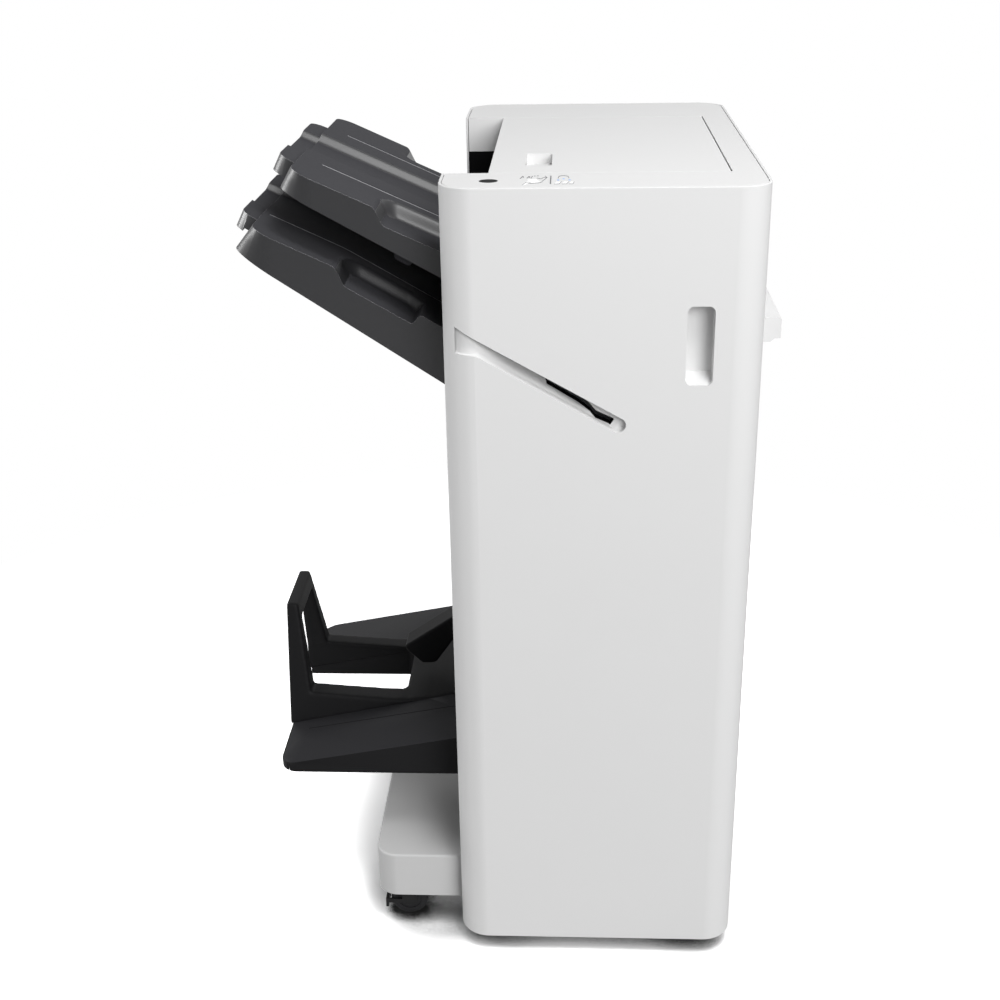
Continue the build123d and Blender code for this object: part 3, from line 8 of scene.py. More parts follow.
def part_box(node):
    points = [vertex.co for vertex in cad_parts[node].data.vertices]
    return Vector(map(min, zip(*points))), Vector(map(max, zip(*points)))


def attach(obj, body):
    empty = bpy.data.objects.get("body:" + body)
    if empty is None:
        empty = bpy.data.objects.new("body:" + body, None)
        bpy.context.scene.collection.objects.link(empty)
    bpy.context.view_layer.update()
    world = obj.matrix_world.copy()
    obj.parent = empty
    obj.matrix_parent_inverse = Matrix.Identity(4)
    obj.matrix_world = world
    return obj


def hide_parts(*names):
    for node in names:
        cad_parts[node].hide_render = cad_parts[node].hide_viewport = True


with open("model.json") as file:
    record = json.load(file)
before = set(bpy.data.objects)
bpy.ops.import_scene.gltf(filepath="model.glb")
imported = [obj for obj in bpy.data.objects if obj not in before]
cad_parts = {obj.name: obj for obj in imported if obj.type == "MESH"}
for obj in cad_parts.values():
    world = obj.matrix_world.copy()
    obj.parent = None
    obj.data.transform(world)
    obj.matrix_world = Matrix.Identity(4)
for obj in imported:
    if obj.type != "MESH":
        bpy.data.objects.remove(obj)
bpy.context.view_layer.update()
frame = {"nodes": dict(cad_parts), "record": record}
scene = bpy.context.scene
nodes = frame["nodes"]
record = frame["record"]
bodyOf = {node: body for body, members in record["behaviour"]["bodies"].items() for node in members}
slotOf = {part["node"]: part["material_slot"] for part in record["subparts"]}
mm = 0.001
print("frame loaded:", len(nodes), "nodes")

# Places below are millimetres from the cabinet's left side, its front face and the floor
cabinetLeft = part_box("left_front_cover")[0].x
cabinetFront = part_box("front_door")[0].y


def spot(x, y, z):
    return Vector((cabinetLeft + x * mm, cabinetFront + y * mm, z * mm))


def roundedRamp(value, start, end, soft=0.35):  # 0 before start, 1 after end, straight with eased ends
    t = min(max((value - start) / (end - start), 0.0), 1.0)
    rate = 1 / (1 - soft)
    if t < soft:
        return rate * t * t / (2 * soft)
    if t > 1 - soft:
        return 1 - rate * (1 - t) ** 2 / (2 * soft)
    return rate * (t - soft / 2)


def spread(start, end, size):  # even places from start to end, about size apart
    count = max(1, round((end - start) / size))
    return [start + (end - start) * k / count for k in range(count + 1)]


def thinned(fixed, free, gap):  # the fixed places, and the free ones that stand clear of them
    kept = sorted(set(fixed))
    for value in sorted(free):
        if all(abs(value - other) >= gap for other in kept):
            kept.append(value)
    return sorted(kept)


# Materials: each is a real finish, in sRGB hex colours and millimetre scales

grainDepth = 0.25  # how high a grain or line stands, as a share of its size
absIor = 1.53  # refraction of ABS and nylon, for the plastics that name no other


def srgb(code):
    parts = [int(code[i:i + 2], 16) / 255 for i in (1, 3, 5)]
    return tuple([c / 12.92 if c <= 0.04045 else ((c + 0.055) / 1.055) ** 2.4 for c in parts] + [1.0])


def addNode(tree, kind, values=None, inputs=None, links=None):
    node = tree.nodes.new(kind)
    for name, value in (values or {}).items():
        setattr(node, name, value)
    for name, value in (inputs or {}).items():
        node.inputs[name].default_value = value
    for name, source in (links or {}).items():
        tree.links.new(source, node.inputs[name])
    return node


def newTree(name):
    material = bpy.data.materials.new(name)
    material.use_nodes = True
    material.node_tree.nodes.clear()
    return material, material.node_tree


def coatNodes(tree, look, toneFrom, grainFrom, grainMm, strength, body):
    # The tone shifts the body colour, and one fine grain sets both the roughness and the bump
    tone = addNode(tree, "ShaderNodeMapRange",
                   inputs={"To Min": 1 - look["toneShift"], "To Max": 1 + look["toneShift"]},
                   links={"Value": toneFrom})
    colour = addNode(tree, "ShaderNodeHueSaturation", inputs={"Color": srgb(look["colour"])},
                     links={"Value": tone.outputs["Result"]})
    gloss = addNode(tree, "ShaderNodeMapRange",
                    inputs={"To Min": look["roughness"] - look["roughShift"],
                            "To Max": look["roughness"] + look["roughShift"]},
                    links={"Value": grainFrom})
    bump = addNode(tree, "ShaderNodeBump",
                   inputs={"Strength": strength, "Distance": grainMm * mm * grainDepth},
                   links={"Height": grainFrom})
    shader = addNode(tree, "ShaderNodeBsdfPrincipled", inputs=body,
                     links={"Base Color": colour.outputs["Color"], "Roughness": gloss.outputs["Result"],
                            "Normal": bump.outputs["Normal"]})
    addNode(tree, "ShaderNodeOutputMaterial", links={"Surface": shader.outputs["BSDF"]})


def mouldedPlastic(name, look):
    # Injection-moulded plastic: one body colour with faint flow tone under a fine spark-eroded grain
    material, tree = newTree(name)
    where = addNode(tree, "ShaderNodeTexCoord").outputs["Object"]
    flow = addNode(tree, "ShaderNodeTexNoise", inputs={"Scale": 1 / (look["flowMm"] * mm), "Detail": 3.0},
                   links={"Vector": where})
    grain = addNode(tree, "ShaderNodeTexNoise",
                    inputs={"Scale": 1 / (look["grainMm"] * mm), "Detail": 2.5, "Roughness": 0.6},
                    links={"Vector": where})
    coatNodes(tree, look, flow.outputs["Fac"], grain.outputs["Fac"], look["grainMm"], look["grainStrength"],
              {"IOR": look.get("ior", absIor), "Specular IOR Level": look.get("specular", 0.5)})
    return material


def plainMetal(name, look):
    # Bare or plated metal: its tone varies in patches, and fine lines or spangle break the shine
    material, tree = newTree(name)
    where = addNode(tree, "ShaderNodeTexCoord").outputs["Object"]
    stretched = addNode(tree, "ShaderNodeMapping", inputs={"Scale": look["stretch"]}, links={"Vector": where})
    spangle = addNode(tree, "ShaderNodeTexVoronoi", inputs={"Scale": 1 / (look["patchMm"] * mm)},
                      links={"Vector": where})
    lines = addNode(tree, "ShaderNodeTexNoise", inputs={"Scale": 1 / (look["lineMm"] * mm), "Detail": 2.0},
                    links={"Vector": stretched.outputs["Vector"]})
    coatNodes(tree, look, spangle.outputs["Distance"], lines.outputs["Fac"], look["lineMm"],
              look["lineStrength"], {"Metallic": 1.0})
    return material


def circuitBoard(name, look):
    # Solder-masked glass epoxy: darker green with lighter copper runs under the mask
    material, tree = newTree(name)
    where = addNode(tree, "ShaderNodeTexCoord").outputs["Object"]
    turned = addNode(tree, "ShaderNodeMapping", inputs={"Rotation": (math.pi / 2, 0.0, 0.0)},
                     links={"Vector": where})
    runs = addNode(tree, "ShaderNodeTexBrick",
                   inputs={"Color1": srgb(look["mask"]), "Color2": srgb(look["maskDark"]),
                           "Mortar": srgb(look["copper"]), "Scale": 1.0, "Mortar Size": look["runMm"] * mm,
                           "Brick Width": look["cellMm"] * mm, "Row Height": look["cellMm"] * mm / 2},
                   links={"Vector": turned.outputs["Vector"]})
    shader = addNode(tree, "ShaderNodeBsdfPrincipled",
                     inputs={"Roughness": look["roughness"], "IOR": look["ior"]},
                     links={"Base Color": runs.outputs["Color"]})
    addNode(tree, "ShaderNodeOutputMaterial", links={"Surface": shader.outputs["BSDF"]})
    return material


plastics = {
    # ABS from a satin mould, for the casings: off-white, with a grain drawn coarser than its real 0.1 mm
    "satinWhiteAbs": {"colour": "#DADADA", "roughness": 0.48, "roughShift": 0.04, "grainMm": 0.9,
                      "grainStrength": 0.05, "flowMm": 160, "toneShift": 0.008, "specular": 0.08},
    # ABS from a sparked mould, for the output trays' paper faces: charcoal, its grain shown at 1.5 mm; the
    # lighter, lit copy of the two charcoal tones
    "sparkedCharcoalAbs": {"colour": "#424245", "roughness": 0.62, "roughShift": 0.06, "grainMm": 1.5,
                           "grainStrength": 0.12, "flowMm": 90, "toneShift": 0.05, "specular": 0.01},
    # Painted shade: a darker, shaded copy of the same plastic, with a satin sheen, on the trays' walls and
    # flanks
    "shadedSatinCharcoalAbs": {"colour": "#262628", "roughness": 0.38, "roughShift": 0.04, "grainMm": 1.2,
                         "grainStrength": 0.04, "flowMm": 90, "toneShift": 0.05, "specular": 0.45},
    # Painted highlight on the trays' rims and groove flanks and in the booklet tray's groove: the same
    # plastic, painted lighter, and smoother
    "paintedHighlightAbs": {"colour": "#A8A8AB", "roughness": 0.3, "roughShift": 0.05, "grainMm": 0.8,
                       "grainStrength": 0.04, "flowMm": 60, "toneShift": 0.08},
    # The same plastic in near black, for the booklet tray's body, its stop and its flap
    "sparkedBlackAbs": {"colour": "#19191A", "roughness": 0.5, "roughShift": 0.07, "grainMm": 1.5,
                        "grainStrength": 0.14, "flowMm": 90, "toneShift": 0.05, "specular": 0.06},
    # Painted light: the booklet tray's up-facing deck is a lit copy, a shade lighter than its body
    "litDeckBlackAbs": {"colour": "#29292B", "roughness": 0.5, "roughShift": 0.07, "grainMm": 1.5,
                       "grainStrength": 0.12, "flowMm": 90, "toneShift": 0.05, "specular": 0.06},
    # Matt black ABS lining of the delivery recess, also on the painted-shade sleeve behind the staple slit
    "mattBlackAbs": {"colour": "#050506", "roughness": 0.66, "roughShift": 0.06, "grainMm": 1.2,
                     "grainStrength": 0.12, "flowMm": 70, "toneShift": 0.04, "ior": 1.5, "specular": 0.08},
    # Light grey ABS of the base
    "satinGreyAbs": {"colour": "#C4C4C4", "roughness": 0.42, "roughShift": 0.04, "grainMm": 0.9,
                     "grainStrength": 0.05, "flowMm": 120, "toneShift": 0.01, "specular": 0.1},
    # Smoked black acrylic of the status window
    "blackAcrylic": {"colour": "#0C0C0D", "roughness": 0.4, "roughShift": 0.02, "grainMm": 2.0,
                     "grainStrength": 0.01, "flowMm": 40, "toneShift": 0.02, "ior": 1.49, "specular": 0.01},
    # Ground rubber sleeves of the rollers: a dull velvet of grinding marks
    "groundRubber": {"colour": "#2B2B2D", "roughness": 0.78, "roughShift": 0.08, "grainMm": 0.6,
                     "grainStrength": 0.3, "flowMm": 20, "toneShift": 0.06, "ior": 1.52},
    # Black nylon of the caster forks
    "blackNylon": {"colour": "#0F0F10", "roughness": 0.5, "roughShift": 0.06, "grainMm": 0.9,
                   "grainStrength": 0.12, "flowMm": 30, "toneShift": 0.05, "specular": 0.2},
    # Polyurethane tread of the wheels, with a faint scuff from rolling
    "scuffedPolyurethane": {"colour": "#141416", "roughness": 0.58, "roughShift": 0.1, "grainMm": 1.8,
                            "grainStrength": 0.2, "flowMm": 12, "toneShift": 0.15, "ior": 1.5,
                            "specular": 0.25},
    # Natural acetal of the shaft bushes: waxy cream white
    "naturalAcetal": {"colour": "#E6E1D3", "roughness": 0.38, "roughShift": 0.05, "grainMm": 0.7,
                      "grainStrength": 0.05, "flowMm": 10, "toneShift": 0.02, "ior": 1.48},
    # Green ABS that marks what the user may turn
    "touchGreenAbs": {"colour": "#1F8A4C", "roughness": 0.36, "roughShift": 0.05, "grainMm": 0.8,
                      "grainStrength": 0.06, "flowMm": 20, "toneShift": 0.03},
    # Dark grey ABS housings of the stapler, joggers and stitcher
    "moduleGreyAbs": {"colour": "#4E5053", "roughness": 0.5, "roughShift": 0.06, "grainMm": 1.1,
                      "grainStrength": 0.12, "flowMm": 40, "toneShift": 0.04},
}
# Printing inks of the pictograms: dark strokes, pale blue marks at the rollers, white papers
inks = {"darkInk": ("#4A4B50", 0.04), "blueInk": ("#9FB8E0", 0.03), "whiteInk": ("#FAFAFA", 0.01)}
for name, (colour, toneShift) in inks.items():
    plastics[name] = {"colour": colour, "roughness": 0.5, "roughShift": 0.03, "grainMm": 0.4,
                      "grainStrength": 0.04, "flowMm": 8, "toneShift": toneShift, "ior": 1.5}
metals = {
    # Zinc-plated sheet of the frame, with the spangle of the plating
    "zincPlatedSheet": {"colour": "#C3C6CA", "roughness": 0.36, "roughShift": 0.07, "patchMm": 9,
                        "toneShift": 0.06, "lineMm": 0.8, "lineStrength": 0.06, "stretch": (1.0, 1.0, 1.0)},
    # Ground steel shafts and pins: lines run round the shaft
    "groundSteel": {"colour": "#D2D3D6", "roughness": 0.25, "roughShift": 0.06, "patchMm": 14,
                    "toneShift": 0.03, "lineMm": 0.5, "lineStrength": 0.1, "stretch": (0.1, 1.0, 0.1)},
}
board = {"mask": "#1D6B3C", "maskDark": "#185A33", "copper": "#3E9A5E", "runMm": 0.5, "cellMm": 9.0,
         "roughness": 0.3, "ior": 1.5}

finish = {name: mouldedPlastic(name, look) for name, look in plastics.items()}
finish.update({name: plainMetal(name, look) for name, look in metals.items()})
finish["solderMaskedBoard"] = circuitBoard("solderMaskedBoard", board)
slotFinish = {
    "casing_white": "satinWhiteAbs", "liner_black": "mattBlackAbs", "tray_charcoal": "sparkedCharcoalAbs",
    "booklet_black": "sparkedBlackAbs", "base_grey": "satinGreyAbs", "window_black": "blackAcrylic",
    "frame_steel": "zincPlatedSheet", "shaft_steel": "groundSteel", "roller_rubber": "groundRubber",
    "caster_black": "blackNylon", "caster_tyre": "scuffedPolyurethane", "bush_nylon": "naturalAcetal",
    "knob_green": "touchGreenAbs", "module_grey": "moduleGreyAbs", "board_green": "solderMaskedBoard",
}
for node, item in nodes.items():
    item.data.materials.clear()
    item.data.materials.append(finish[slotFinish[slotOf[node]]])
print("materials made:", len(finish))


# Pieces: how a finished mesh joins the object

def shaded(piece, sharpAngle):
    piece.data.shade_smooth()
    piece.data.set_sharp_from_angle(angle=math.radians(sharpAngle))
    weight = piece.modifiers.new("evenNormals", "WEIGHTED_NORMAL")
    weight.keep_sharp = True
    return plain(piece)


def plain(piece):  # the piece with its modifiers made part of its mesh
    bpy.context.view_layer.update()
    seen = piece.evaluated_get(bpy.context.evaluated_depsgraph_get())
    piece.data = bpy.data.meshes.new_from_object(seen)
    piece.modifiers.clear()
    return piece


def newPiece(name, bm, *looks):
    mesh = bpy.data.meshes.new(name)
    bm.to_mesh(mesh)
    bm.free()
    for look in looks:
        mesh.materials.append(finish[look])
    piece = bpy.data.objects.new(name, mesh)
    scene.collection.objects.link(piece)
    return piece


def fitted(piece, body, replaced=()):
    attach(piece, body)
    if replaced:
        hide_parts(*replaced)
    return piece


# Casings and mouldings: the CAD forms with their moulded edge radii, 0 for a sharp edge

edges = {
    "front_door": 0.6, "top_lid": 0.9, "right_cover": 0.2, "left_front_cover": 0.2, "left_rear_cover": 0.2,
    "rear_cover": 0.6, "top_cover": 0.2, "delivery_cover": 0.4, "upper_tray_floor": 0.6,
    "lower_tray_floor": 0.6, "docking_bar": 1.2, "base_cover": 0.8, "handle_cup": 0.5, "booklet_tray": 0.0,
    "flap_bracket": 0.5, "stapler": 1.2, "saddle_stitcher": 1.2, "stapler_rail": 0.5, "front_jogger": 0.4,
    "rear_jogger": 0.4, "base_frame": 0.8, "upper_tray_carriage": 0.5, "lower_tray_carriage": 0.5,
    "fold_knob": 0.8,
}
for corner in ("front_left", "front_right", "rear_left", "rear_right"):
    edges["caster_fork_" + corner] = 0.7
softening = {"weldMm": 0.012, "flatAngle": 0.4, "sharpAngle": 32, "segments": 3, "smoothAngle": 40}
bookletTray = {"node": "booklet_tray", "looks": ("sparkedBlackAbs", "paintedHighlightAbs", "litDeckBlackAbs"),
               "grooveY": 182.0, "grooveHalf": 1.3, "grooveTilt": 0.1, "deckTilt": 0.8}


def coatBookletTray(bm):  # painted highlight in the guide groove, and the up-facing deck painted lighter as lit
    for face in bm.faces:
        off = max(abs((v.co.y - cabinetFront) / mm - bookletTray["grooveY"]) for v in face.verts)
        if face.normal.z > bookletTray["grooveTilt"] and off < bookletTray["grooveHalf"]:
            face.material_index = 1
        elif face.normal.z > bookletTray["deckTilt"]:
            face.material_index = 2


def roundEdges(bm, chosen, widthMm, segments):
    return bmesh.ops.bevel(bm, geom=chosen, offset=widthMm * mm, offset_type="OFFSET", segments=segments,
                           profile=0.5, affect="EDGES", clamp_overlap=True)


def softened(node, edgeMm):
    bm = bmesh.new()
    bm.from_mesh(nodes[node].data)
    bmesh.ops.remove_doubles(bm, verts=bm.verts, dist=softening["weldMm"] * mm)
    if edgeMm:
        bmesh.ops.dissolve_limit(bm, angle_limit=math.radians(softening["flatAngle"]), verts=bm.verts,
                                 edges=bm.edges)
        limit = math.radians(softening["sharpAngle"])
        sharp = [e for e in bm.edges if len(e.link_faces) == 2 and e.calc_face_angle() > limit]
        roundEdges(bm, sharp, edgeMm, softening["segments"])
    looks = [slotFinish[slotOf[node]]]
    if node == bookletTray["node"]:
        bm.normal_update()
        coatBookletTray(bm)
        looks = bookletTray["looks"]
    piece = newPiece(node + "_moulded", bm, *looks)
    shaded(piece, softening["smoothAngle"])
    return fitted(piece, bodyOf[node], [node])


for node, edgeMm in edges.items():
    softened(node, edgeMm)
print("softened mouldings:", len(edges))


# Booklet stop and flap: thick mouldings with generous radii, rounded by a fine remesh and smoothing

rounded = {
    "booklet_stop": {"voxelMm": 1.8, "rounds": 30, "keep": 0.4, "endBelow": -250.0, "endShift": -3.2,
                     "foot": (-260.5, 245.3, 0.1906), "footSink": 2.8},
    "booklet_flap": {"voxelMm": 1.2, "rounds": 12, "keep": 0.5, "endBelow": -500.0, "endShift": 0.0,
                     "foot": (0.0, 0.0, 0.0), "footSink": 0.0},
}


def remeshed(node, look):
    bm = bmesh.new()
    bm.from_mesh(nodes[node].data)
    bmesh.ops.remove_doubles(bm, verts=bm.verts, dist=softening["weldMm"] * mm)
    x0, z0, slope = look["foot"]
    # The stop's outer face stands further out than its solid, and its foot sinks into the tray
    for vertex in bm.verts:
        if vertex.co.z < (z0 + slope * ((vertex.co.x - cabinetLeft) / mm - x0)) * mm:
            vertex.co.z -= look["footSink"] * mm
        if vertex.co.x < cabinetLeft + look["endBelow"] * mm:
            vertex.co.x += look["endShift"] * mm
    piece = newPiece(node + "_moulded", bm, slotFinish[slotOf[node]])
    remesh = piece.modifiers.new("remesh", "REMESH")
    remesh.mode = "VOXEL"
    remesh.voxel_size = look["voxelMm"] * mm
    smooth = piece.modifiers.new("smooth", "SMOOTH")
    smooth.factor = 0.5
    smooth.iterations = look["rounds"]
    fewer = piece.modifiers.new("fewer", "DECIMATE")
    fewer.ratio = look["keep"]
    plain(piece)
    piece.data.materials.clear()
    piece.data.materials.append(finish[slotFinish[slotOf[node]]])
    piece.data.shade_smooth()
    return fitted(piece, bodyOf[node], [node])


for node, look in rounded.items():
    remeshed(node, look)
print("remeshed mouldings:", len(rounded))


# Staple slot liner: a trough that deepens from the funnel at its left to the slit, with a round nose

slotLiner = {
    "lip": 1.2, "inset": 0.15, "wall": 1.6, "depth": 14.6, "noseDepth": 10.0, "leftDepth": 2.4,
    "sleeve": 13.0, "doorCorner": 40.0, "topLeft": (16.4, 918.5), "topSlope": -0.5679,
    "low": ((16.4, 886.5), (39.0, 884.5), (47.5, 881.0), (212.7, 785.5)),
    "slitTop": ((119.0, 859.2), (165.5, 832.8), (183.1, 811.7), (205.0, 801.5)),
    "slitLow": ((124.0, 842.9), (175.9, 810.8), (182.3, 802.8), (200.1, 794.7)),
    "nose": (209.65, 798.0), "noseAlong": 8.8, "noseAcross": 9.36, "noseSteps": 9,
    "noseTurn": 86.0, "noseShares": (0.3, 0.88), "noseStep": 2.0,
    "funnel": (16.4, 39.0, 47.5), "funnelShares": (0.3, 0.92), "slitAhead": (1.5, 2.0), "fullAt": 118.0,
    "lowShares": ((0.0, 0.0), (0.05, 0.4), (0.12, 0.68), (0.3, 0.78), (0.65, 0.86), (1.0, 0.94)),
    "slitShares": (0.25, 0.5, 0.75), "wallShare": 0.3, "lengthSteps": (6, 4, 24, 14, 6, 8), "weldMm": 0.02,
    "pocket": 15.0, "pocketStart": 22.0, "pocketFull": 85.0, "pocketEnd": (150.0, 170.0), "pocketShare": 0.6,
    "smoothAngle": 50,
}


def lineAt(points, x):  # height of a polyline at x
    for (x0, z0), (x1, z1) in zip(points, points[1:]):
        if x <= x1 or (x1, z1) == points[-1]:
            return z0 + (z1 - z0) * (x - x0) / (x1 - x0)


def between(first, second, share):
    return tuple(a + (b - a) * share for a, b in zip(first, second))


def slotTop(x):
    return x, slotLiner["topLeft"][1] + slotLiner["topSlope"] * (x - slotLiner["topLeft"][0])


def slotLow(x):
    return x, lineAt(slotLiner["low"], x)


def slotStations():  # low edge, slit's low and top edge, top edge, depth, and whether the slit is open there
    slit = list(zip(slotLiner["slitLow"], slotLiner["slitTop"]))
    lowAhead, topAhead = slotLiner["slitAhead"]
    keys = []
    for x in slotLiner["funnel"]:
        low, top = slotLow(x), slotTop(x)
        keys.append((low, *(between(low, top, share) for share in slotLiner["funnelShares"]), top))
    for low, top in slit:
        keys.append((slotLow(low[0] + lowAhead), low, top, slotTop(top[0] + topAhead)))
    stations = []
    for k, steps in enumerate(slotLiner["lengthSteps"]):
        for n in range(steps):
            places = [between(a, b, n / steps) for a, b in zip(keys[k], keys[k + 1])]
            full = roundedRamp(places[1][0], slotLiner["topLeft"][0], slotLiner["fullAt"])
            depth = slotLiner["leftDepth"] + (slotLiner["depth"] - slotLiner["leftDepth"]) * full
            stations.append((places, depth, k >= len(slotLiner["funnel"])))
    stations.append((list(keys[-1]), slotLiner["noseDepth"] + slotLiner["noseStep"], False))
    length = math.hypot(1, slotLiner["topSlope"])
    along = (1 / length, slotLiner["topSlope"] / length)
    across = (-along[1], along[0])
    centre = slotLiner["nose"]
    for n in range(slotLiner["noseSteps"] + 1):
        turn = math.radians(90 - slotLiner["noseTurn"] * n / slotLiner["noseSteps"])
        ahead, beside = slotLiner["noseAlong"] * math.cos(turn), slotLiner["noseAcross"] * math.sin(turn)
        low = tuple(c + ahead * a - beside * b for c, a, b in zip(centre, along, across))
        top = tuple(c + ahead * a + beside * b for c, a, b in zip(centre, along, across))
        places = [low, *(between(low, top, share) for share in slotLiner["noseShares"]), top]
        stations.append((places, slotLiner["noseDepth"], False))
    return stations


def doorFace(x):  # how far back the door's rounded corner lies at x
    radius = slotLiner["doorCorner"]
    return radius - math.sqrt(max(radius ** 2 - max(radius - x, 0.0) ** 2, 0.0))


def pocketDepth(x):  # the upper half of the trough runs deeper towards the slit
    start, full, (fading, gone) = slotLiner["pocketStart"], slotLiner["pocketFull"], slotLiner["pocketEnd"]
    return slotLiner["pocket"] * roundedRamp(x, start, full) * (1 - roundedRamp(x, fading, gone))


def slotColumn(bm, places, depth, flush):
    low, slitLow, slitTop, top = places
    pocket, sunk = pocketDepth(slitTop[0]), slotLiner["pocketShare"]
    rows = [(between(low, slitLow, share), depth * deep + pocket * sunk * share ** 2)
            for share, deep in slotLiner["lowShares"]]
    last = slotLiner["lowShares"][-1][1]
    for share in slotLiner["slitShares"] + (1.0,):
        deep = depth * (last + (1 - last) * share) + pocket * (sunk + (1 - sunk) * share)
        rows.append((between(slitLow, slitTop, share), deep))
    inner = (top[0], top[1] - slotLiner["inset"])
    rows += [(inner, depth + pocket), (inner, depth * slotLiner["wallShare"]), (inner, 0.0)]
    lip = slotLiner["lip"]
    return [bm.verts.new(spot(x, doorFace(x) + lip + (0.0 if flush else deep), z)) for (x, z), deep in rows]


def slitShadeSleeve(bm, columns, first, last):  # painted shade: a near-black sleeve runs from the slit inwards, standing for the dark inside
    rim = [column[first] for column in columns] + columns[-1][first + 1:last]
    rim += [column[last] for column in reversed(columns)] + columns[0][last - 1:first:-1]
    back = [bm.verts.new(v.co + Vector((0, slotLiner["sleeve"] * mm, 0))) for v in rim]
    for k in range(len(rim)):
        n = (k + 1) % len(rim)
        bm.faces.new((rim[k], rim[n], back[n], back[k])).material_index = 1


def slotTrough():
    bm = bmesh.new()
    stations = slotStations()
    columns = [slotColumn(bm, stations[0][0], stations[0][1], True)]
    columns += [slotColumn(bm, places, depth, False) for places, depth, _ in stations]
    columns.append(slotColumn(bm, stations[-1][0], stations[-1][1], True))
    isOpen = [False] + [station[2] for station in stations] + [False]
    first = len(slotLiner["lowShares"]) - 1
    last = first + len(slotLiner["slitShares"]) + 1
    for k in range(len(columns) - 1):
        for r in range(len(columns[k]) - 1):
            if not (isOpen[k] and first <= r < last):
                bm.faces.new((columns[k][r], columns[k + 1][r], columns[k + 1][r + 1], columns[k][r + 1]))
    start, end = isOpen.index(True), len(isOpen) - 1 - isOpen[::-1].index(True) + 1
    slitShadeSleeve(bm, columns[start:end + 1], first, last)
    bmesh.ops.remove_doubles(bm, verts=bm.verts, dist=slotLiner["weldMm"] * mm)
    bmesh.ops.recalc_face_normals(bm, faces=bm.faces)
    if sum(face.normal.y * face.calc_area() for face in bm.faces) > 0:
        bmesh.ops.reverse_faces(bm, faces=bm.faces)
    piece = newPiece("staple_slot_liner_moulded", bm, "satinWhiteAbs", "mattBlackAbs")
    wall = piece.modifiers.new("wall", "SOLIDIFY")
    wall.thickness = slotLiner["wall"] * mm
    wall.offset = -1
    plain(piece)
    shaded(piece, slotLiner["smoothAngle"])
    node = "staple_slot_liner"
    return fitted(piece, bodyOf[node], [node])


slotTrough()
print("slot liner made")


# Output trays: a sloping top with a valley, finger scallops and two guide grooves, over a thin-walled body

trayCommon = {
    "front": 95.0, "rear": 503.0, "root": 50.0, "cornerRadius": 25.0, "valleyFloor": 45.0, "valleyLip": 59.0,
    "valleyDepth": 13.0, "scallopWall": 72.0, "scallopDepth": 18.0, "scallopRun": 16.0, "scallopCorner": 26.0,
    "grooveInset": 95.0, "grooveStart": 26.0, "grooveHalf": 0.9, "grooveDepth": 0.9, "grooveRunIn": 2.0,
    "strip": 6.4, "valleyStrip": 3.4, "openingHalf": 132.6, "openingSlack": (0.1, 0.5), "wall": 2.6,
    "edge": 1.8, "bendEase": 9.0, "leanFade": 38.0, "cornerZone": 40.0, "stripMost": 0.45,
    "wallShares": (0.5, 1.0), "stations": (),
}
trays = {
    "upper_tray": {"endTop": (-184.0, 1086.0), "bend": (-85.0, 1040.9), "rootTop": 979.5,
                   "endLow": (-198.5, 1062.0), "rootLow": 922.5, "scallop": (-87.0, 24.0)},
    "lower_tray": {"endTop": (-236.5, 1015.5), "bend": (-136.2, 968.3), "rootTop": 859.0,
                   "endLow": (-259.5, 987.5), "rootLow": 780.5, "scallop": (-138.0, -30.0),
                   "grooveStart": 7.0},
}
trayLooks = ("sparkedCharcoalAbs", "paintedHighlightAbs", "shadedSatinCharcoalAbs")
trayFinish = {"rimSegments": 5, "highlightTilt": (0.3, 0.96), "grooveTilt": 0.1, "paperTilt": 0.5,
              "paperLean": 0.25, "smoothAngle": 45}
# The mesh of the tops: step, gap and cornerStep are mm along and across the tray, arcStep is degrees
trayMesh = {"step": (6.0, 7.0), "gap": (1.4, 1.2), "cornerStep": (1.6, 1.8), "bendStep": 3.0, "lipStep": 1.4,
            "firstRow": 3.0, "arcStep": 9}


def topLine(tray, x):
    (endX, endZ), (bendX, bendZ) = tray["endTop"], tray["bend"]
    first = (bendZ - endZ) / (bendX - endX)
    second = (tray["rootTop"] - bendZ) / (tray["root"] - bendX)
    past, ease = x - bendX, tray["bendEase"]
    if past <= -ease:
        over = 0.0
    elif past >= ease:
        over = past
    else:
        over = (past + ease) ** 2 / (4 * ease)
    return bendZ + first * past + (second - first) * over


def lowLine(tray, x):
    (x0, z0), x1, z1 = tray["endLow"], tray["root"], tray["rootLow"]
    return z0 + (z1 - z0) * (x - x0) / (x1 - x0)


def scallopDip(tray, x, inset):  # its plan is a box open to the long edge, with rounded inner corners
    x0, x1 = tray["scallop"]
    along, across, corner = min(x - x0, x1 - x), tray["scallopWall"] - inset, tray["scallopCorner"]
    inside = min(along, across)
    if 0 < along < corner and 0 < across < corner:
        inside = corner - math.hypot(corner - along, corner - across)
    return tray["scallopDepth"] * roundedRamp(inside, 0, tray["scallopRun"])


def trayHeight(tray, x, y):
    middle = (tray["front"] + tray["rear"]) / 2
    z = topLine(tray, x)
    z -= tray["valleyDepth"] * (1 - roundedRamp(abs(y - middle), tray["valleyFloor"], tray["valleyLip"]))
    inset = min(y - tray["front"], tray["rear"] - y)
    z -= scallopDip(tray, x, inset)
    start = tray["endTop"][0] + tray["grooveStart"]
    off = abs(inset - tray["grooveInset"])
    runIn = roundedRamp(x, start, start + tray["grooveRunIn"])
    return z - tray["grooveDepth"] * max(0.0, 1 - off / tray["grooveHalf"]) * runIn


def edgePlace(tray, x):  # how far the rounded corner draws the long edge in
    run = tray["cornerRadius"] - (x - tray["endTop"][0])
    if run <= 0:
        return 0.0
    return tray["cornerRadius"] - math.sqrt(max(tray["cornerRadius"] ** 2 - run ** 2, 0.0))


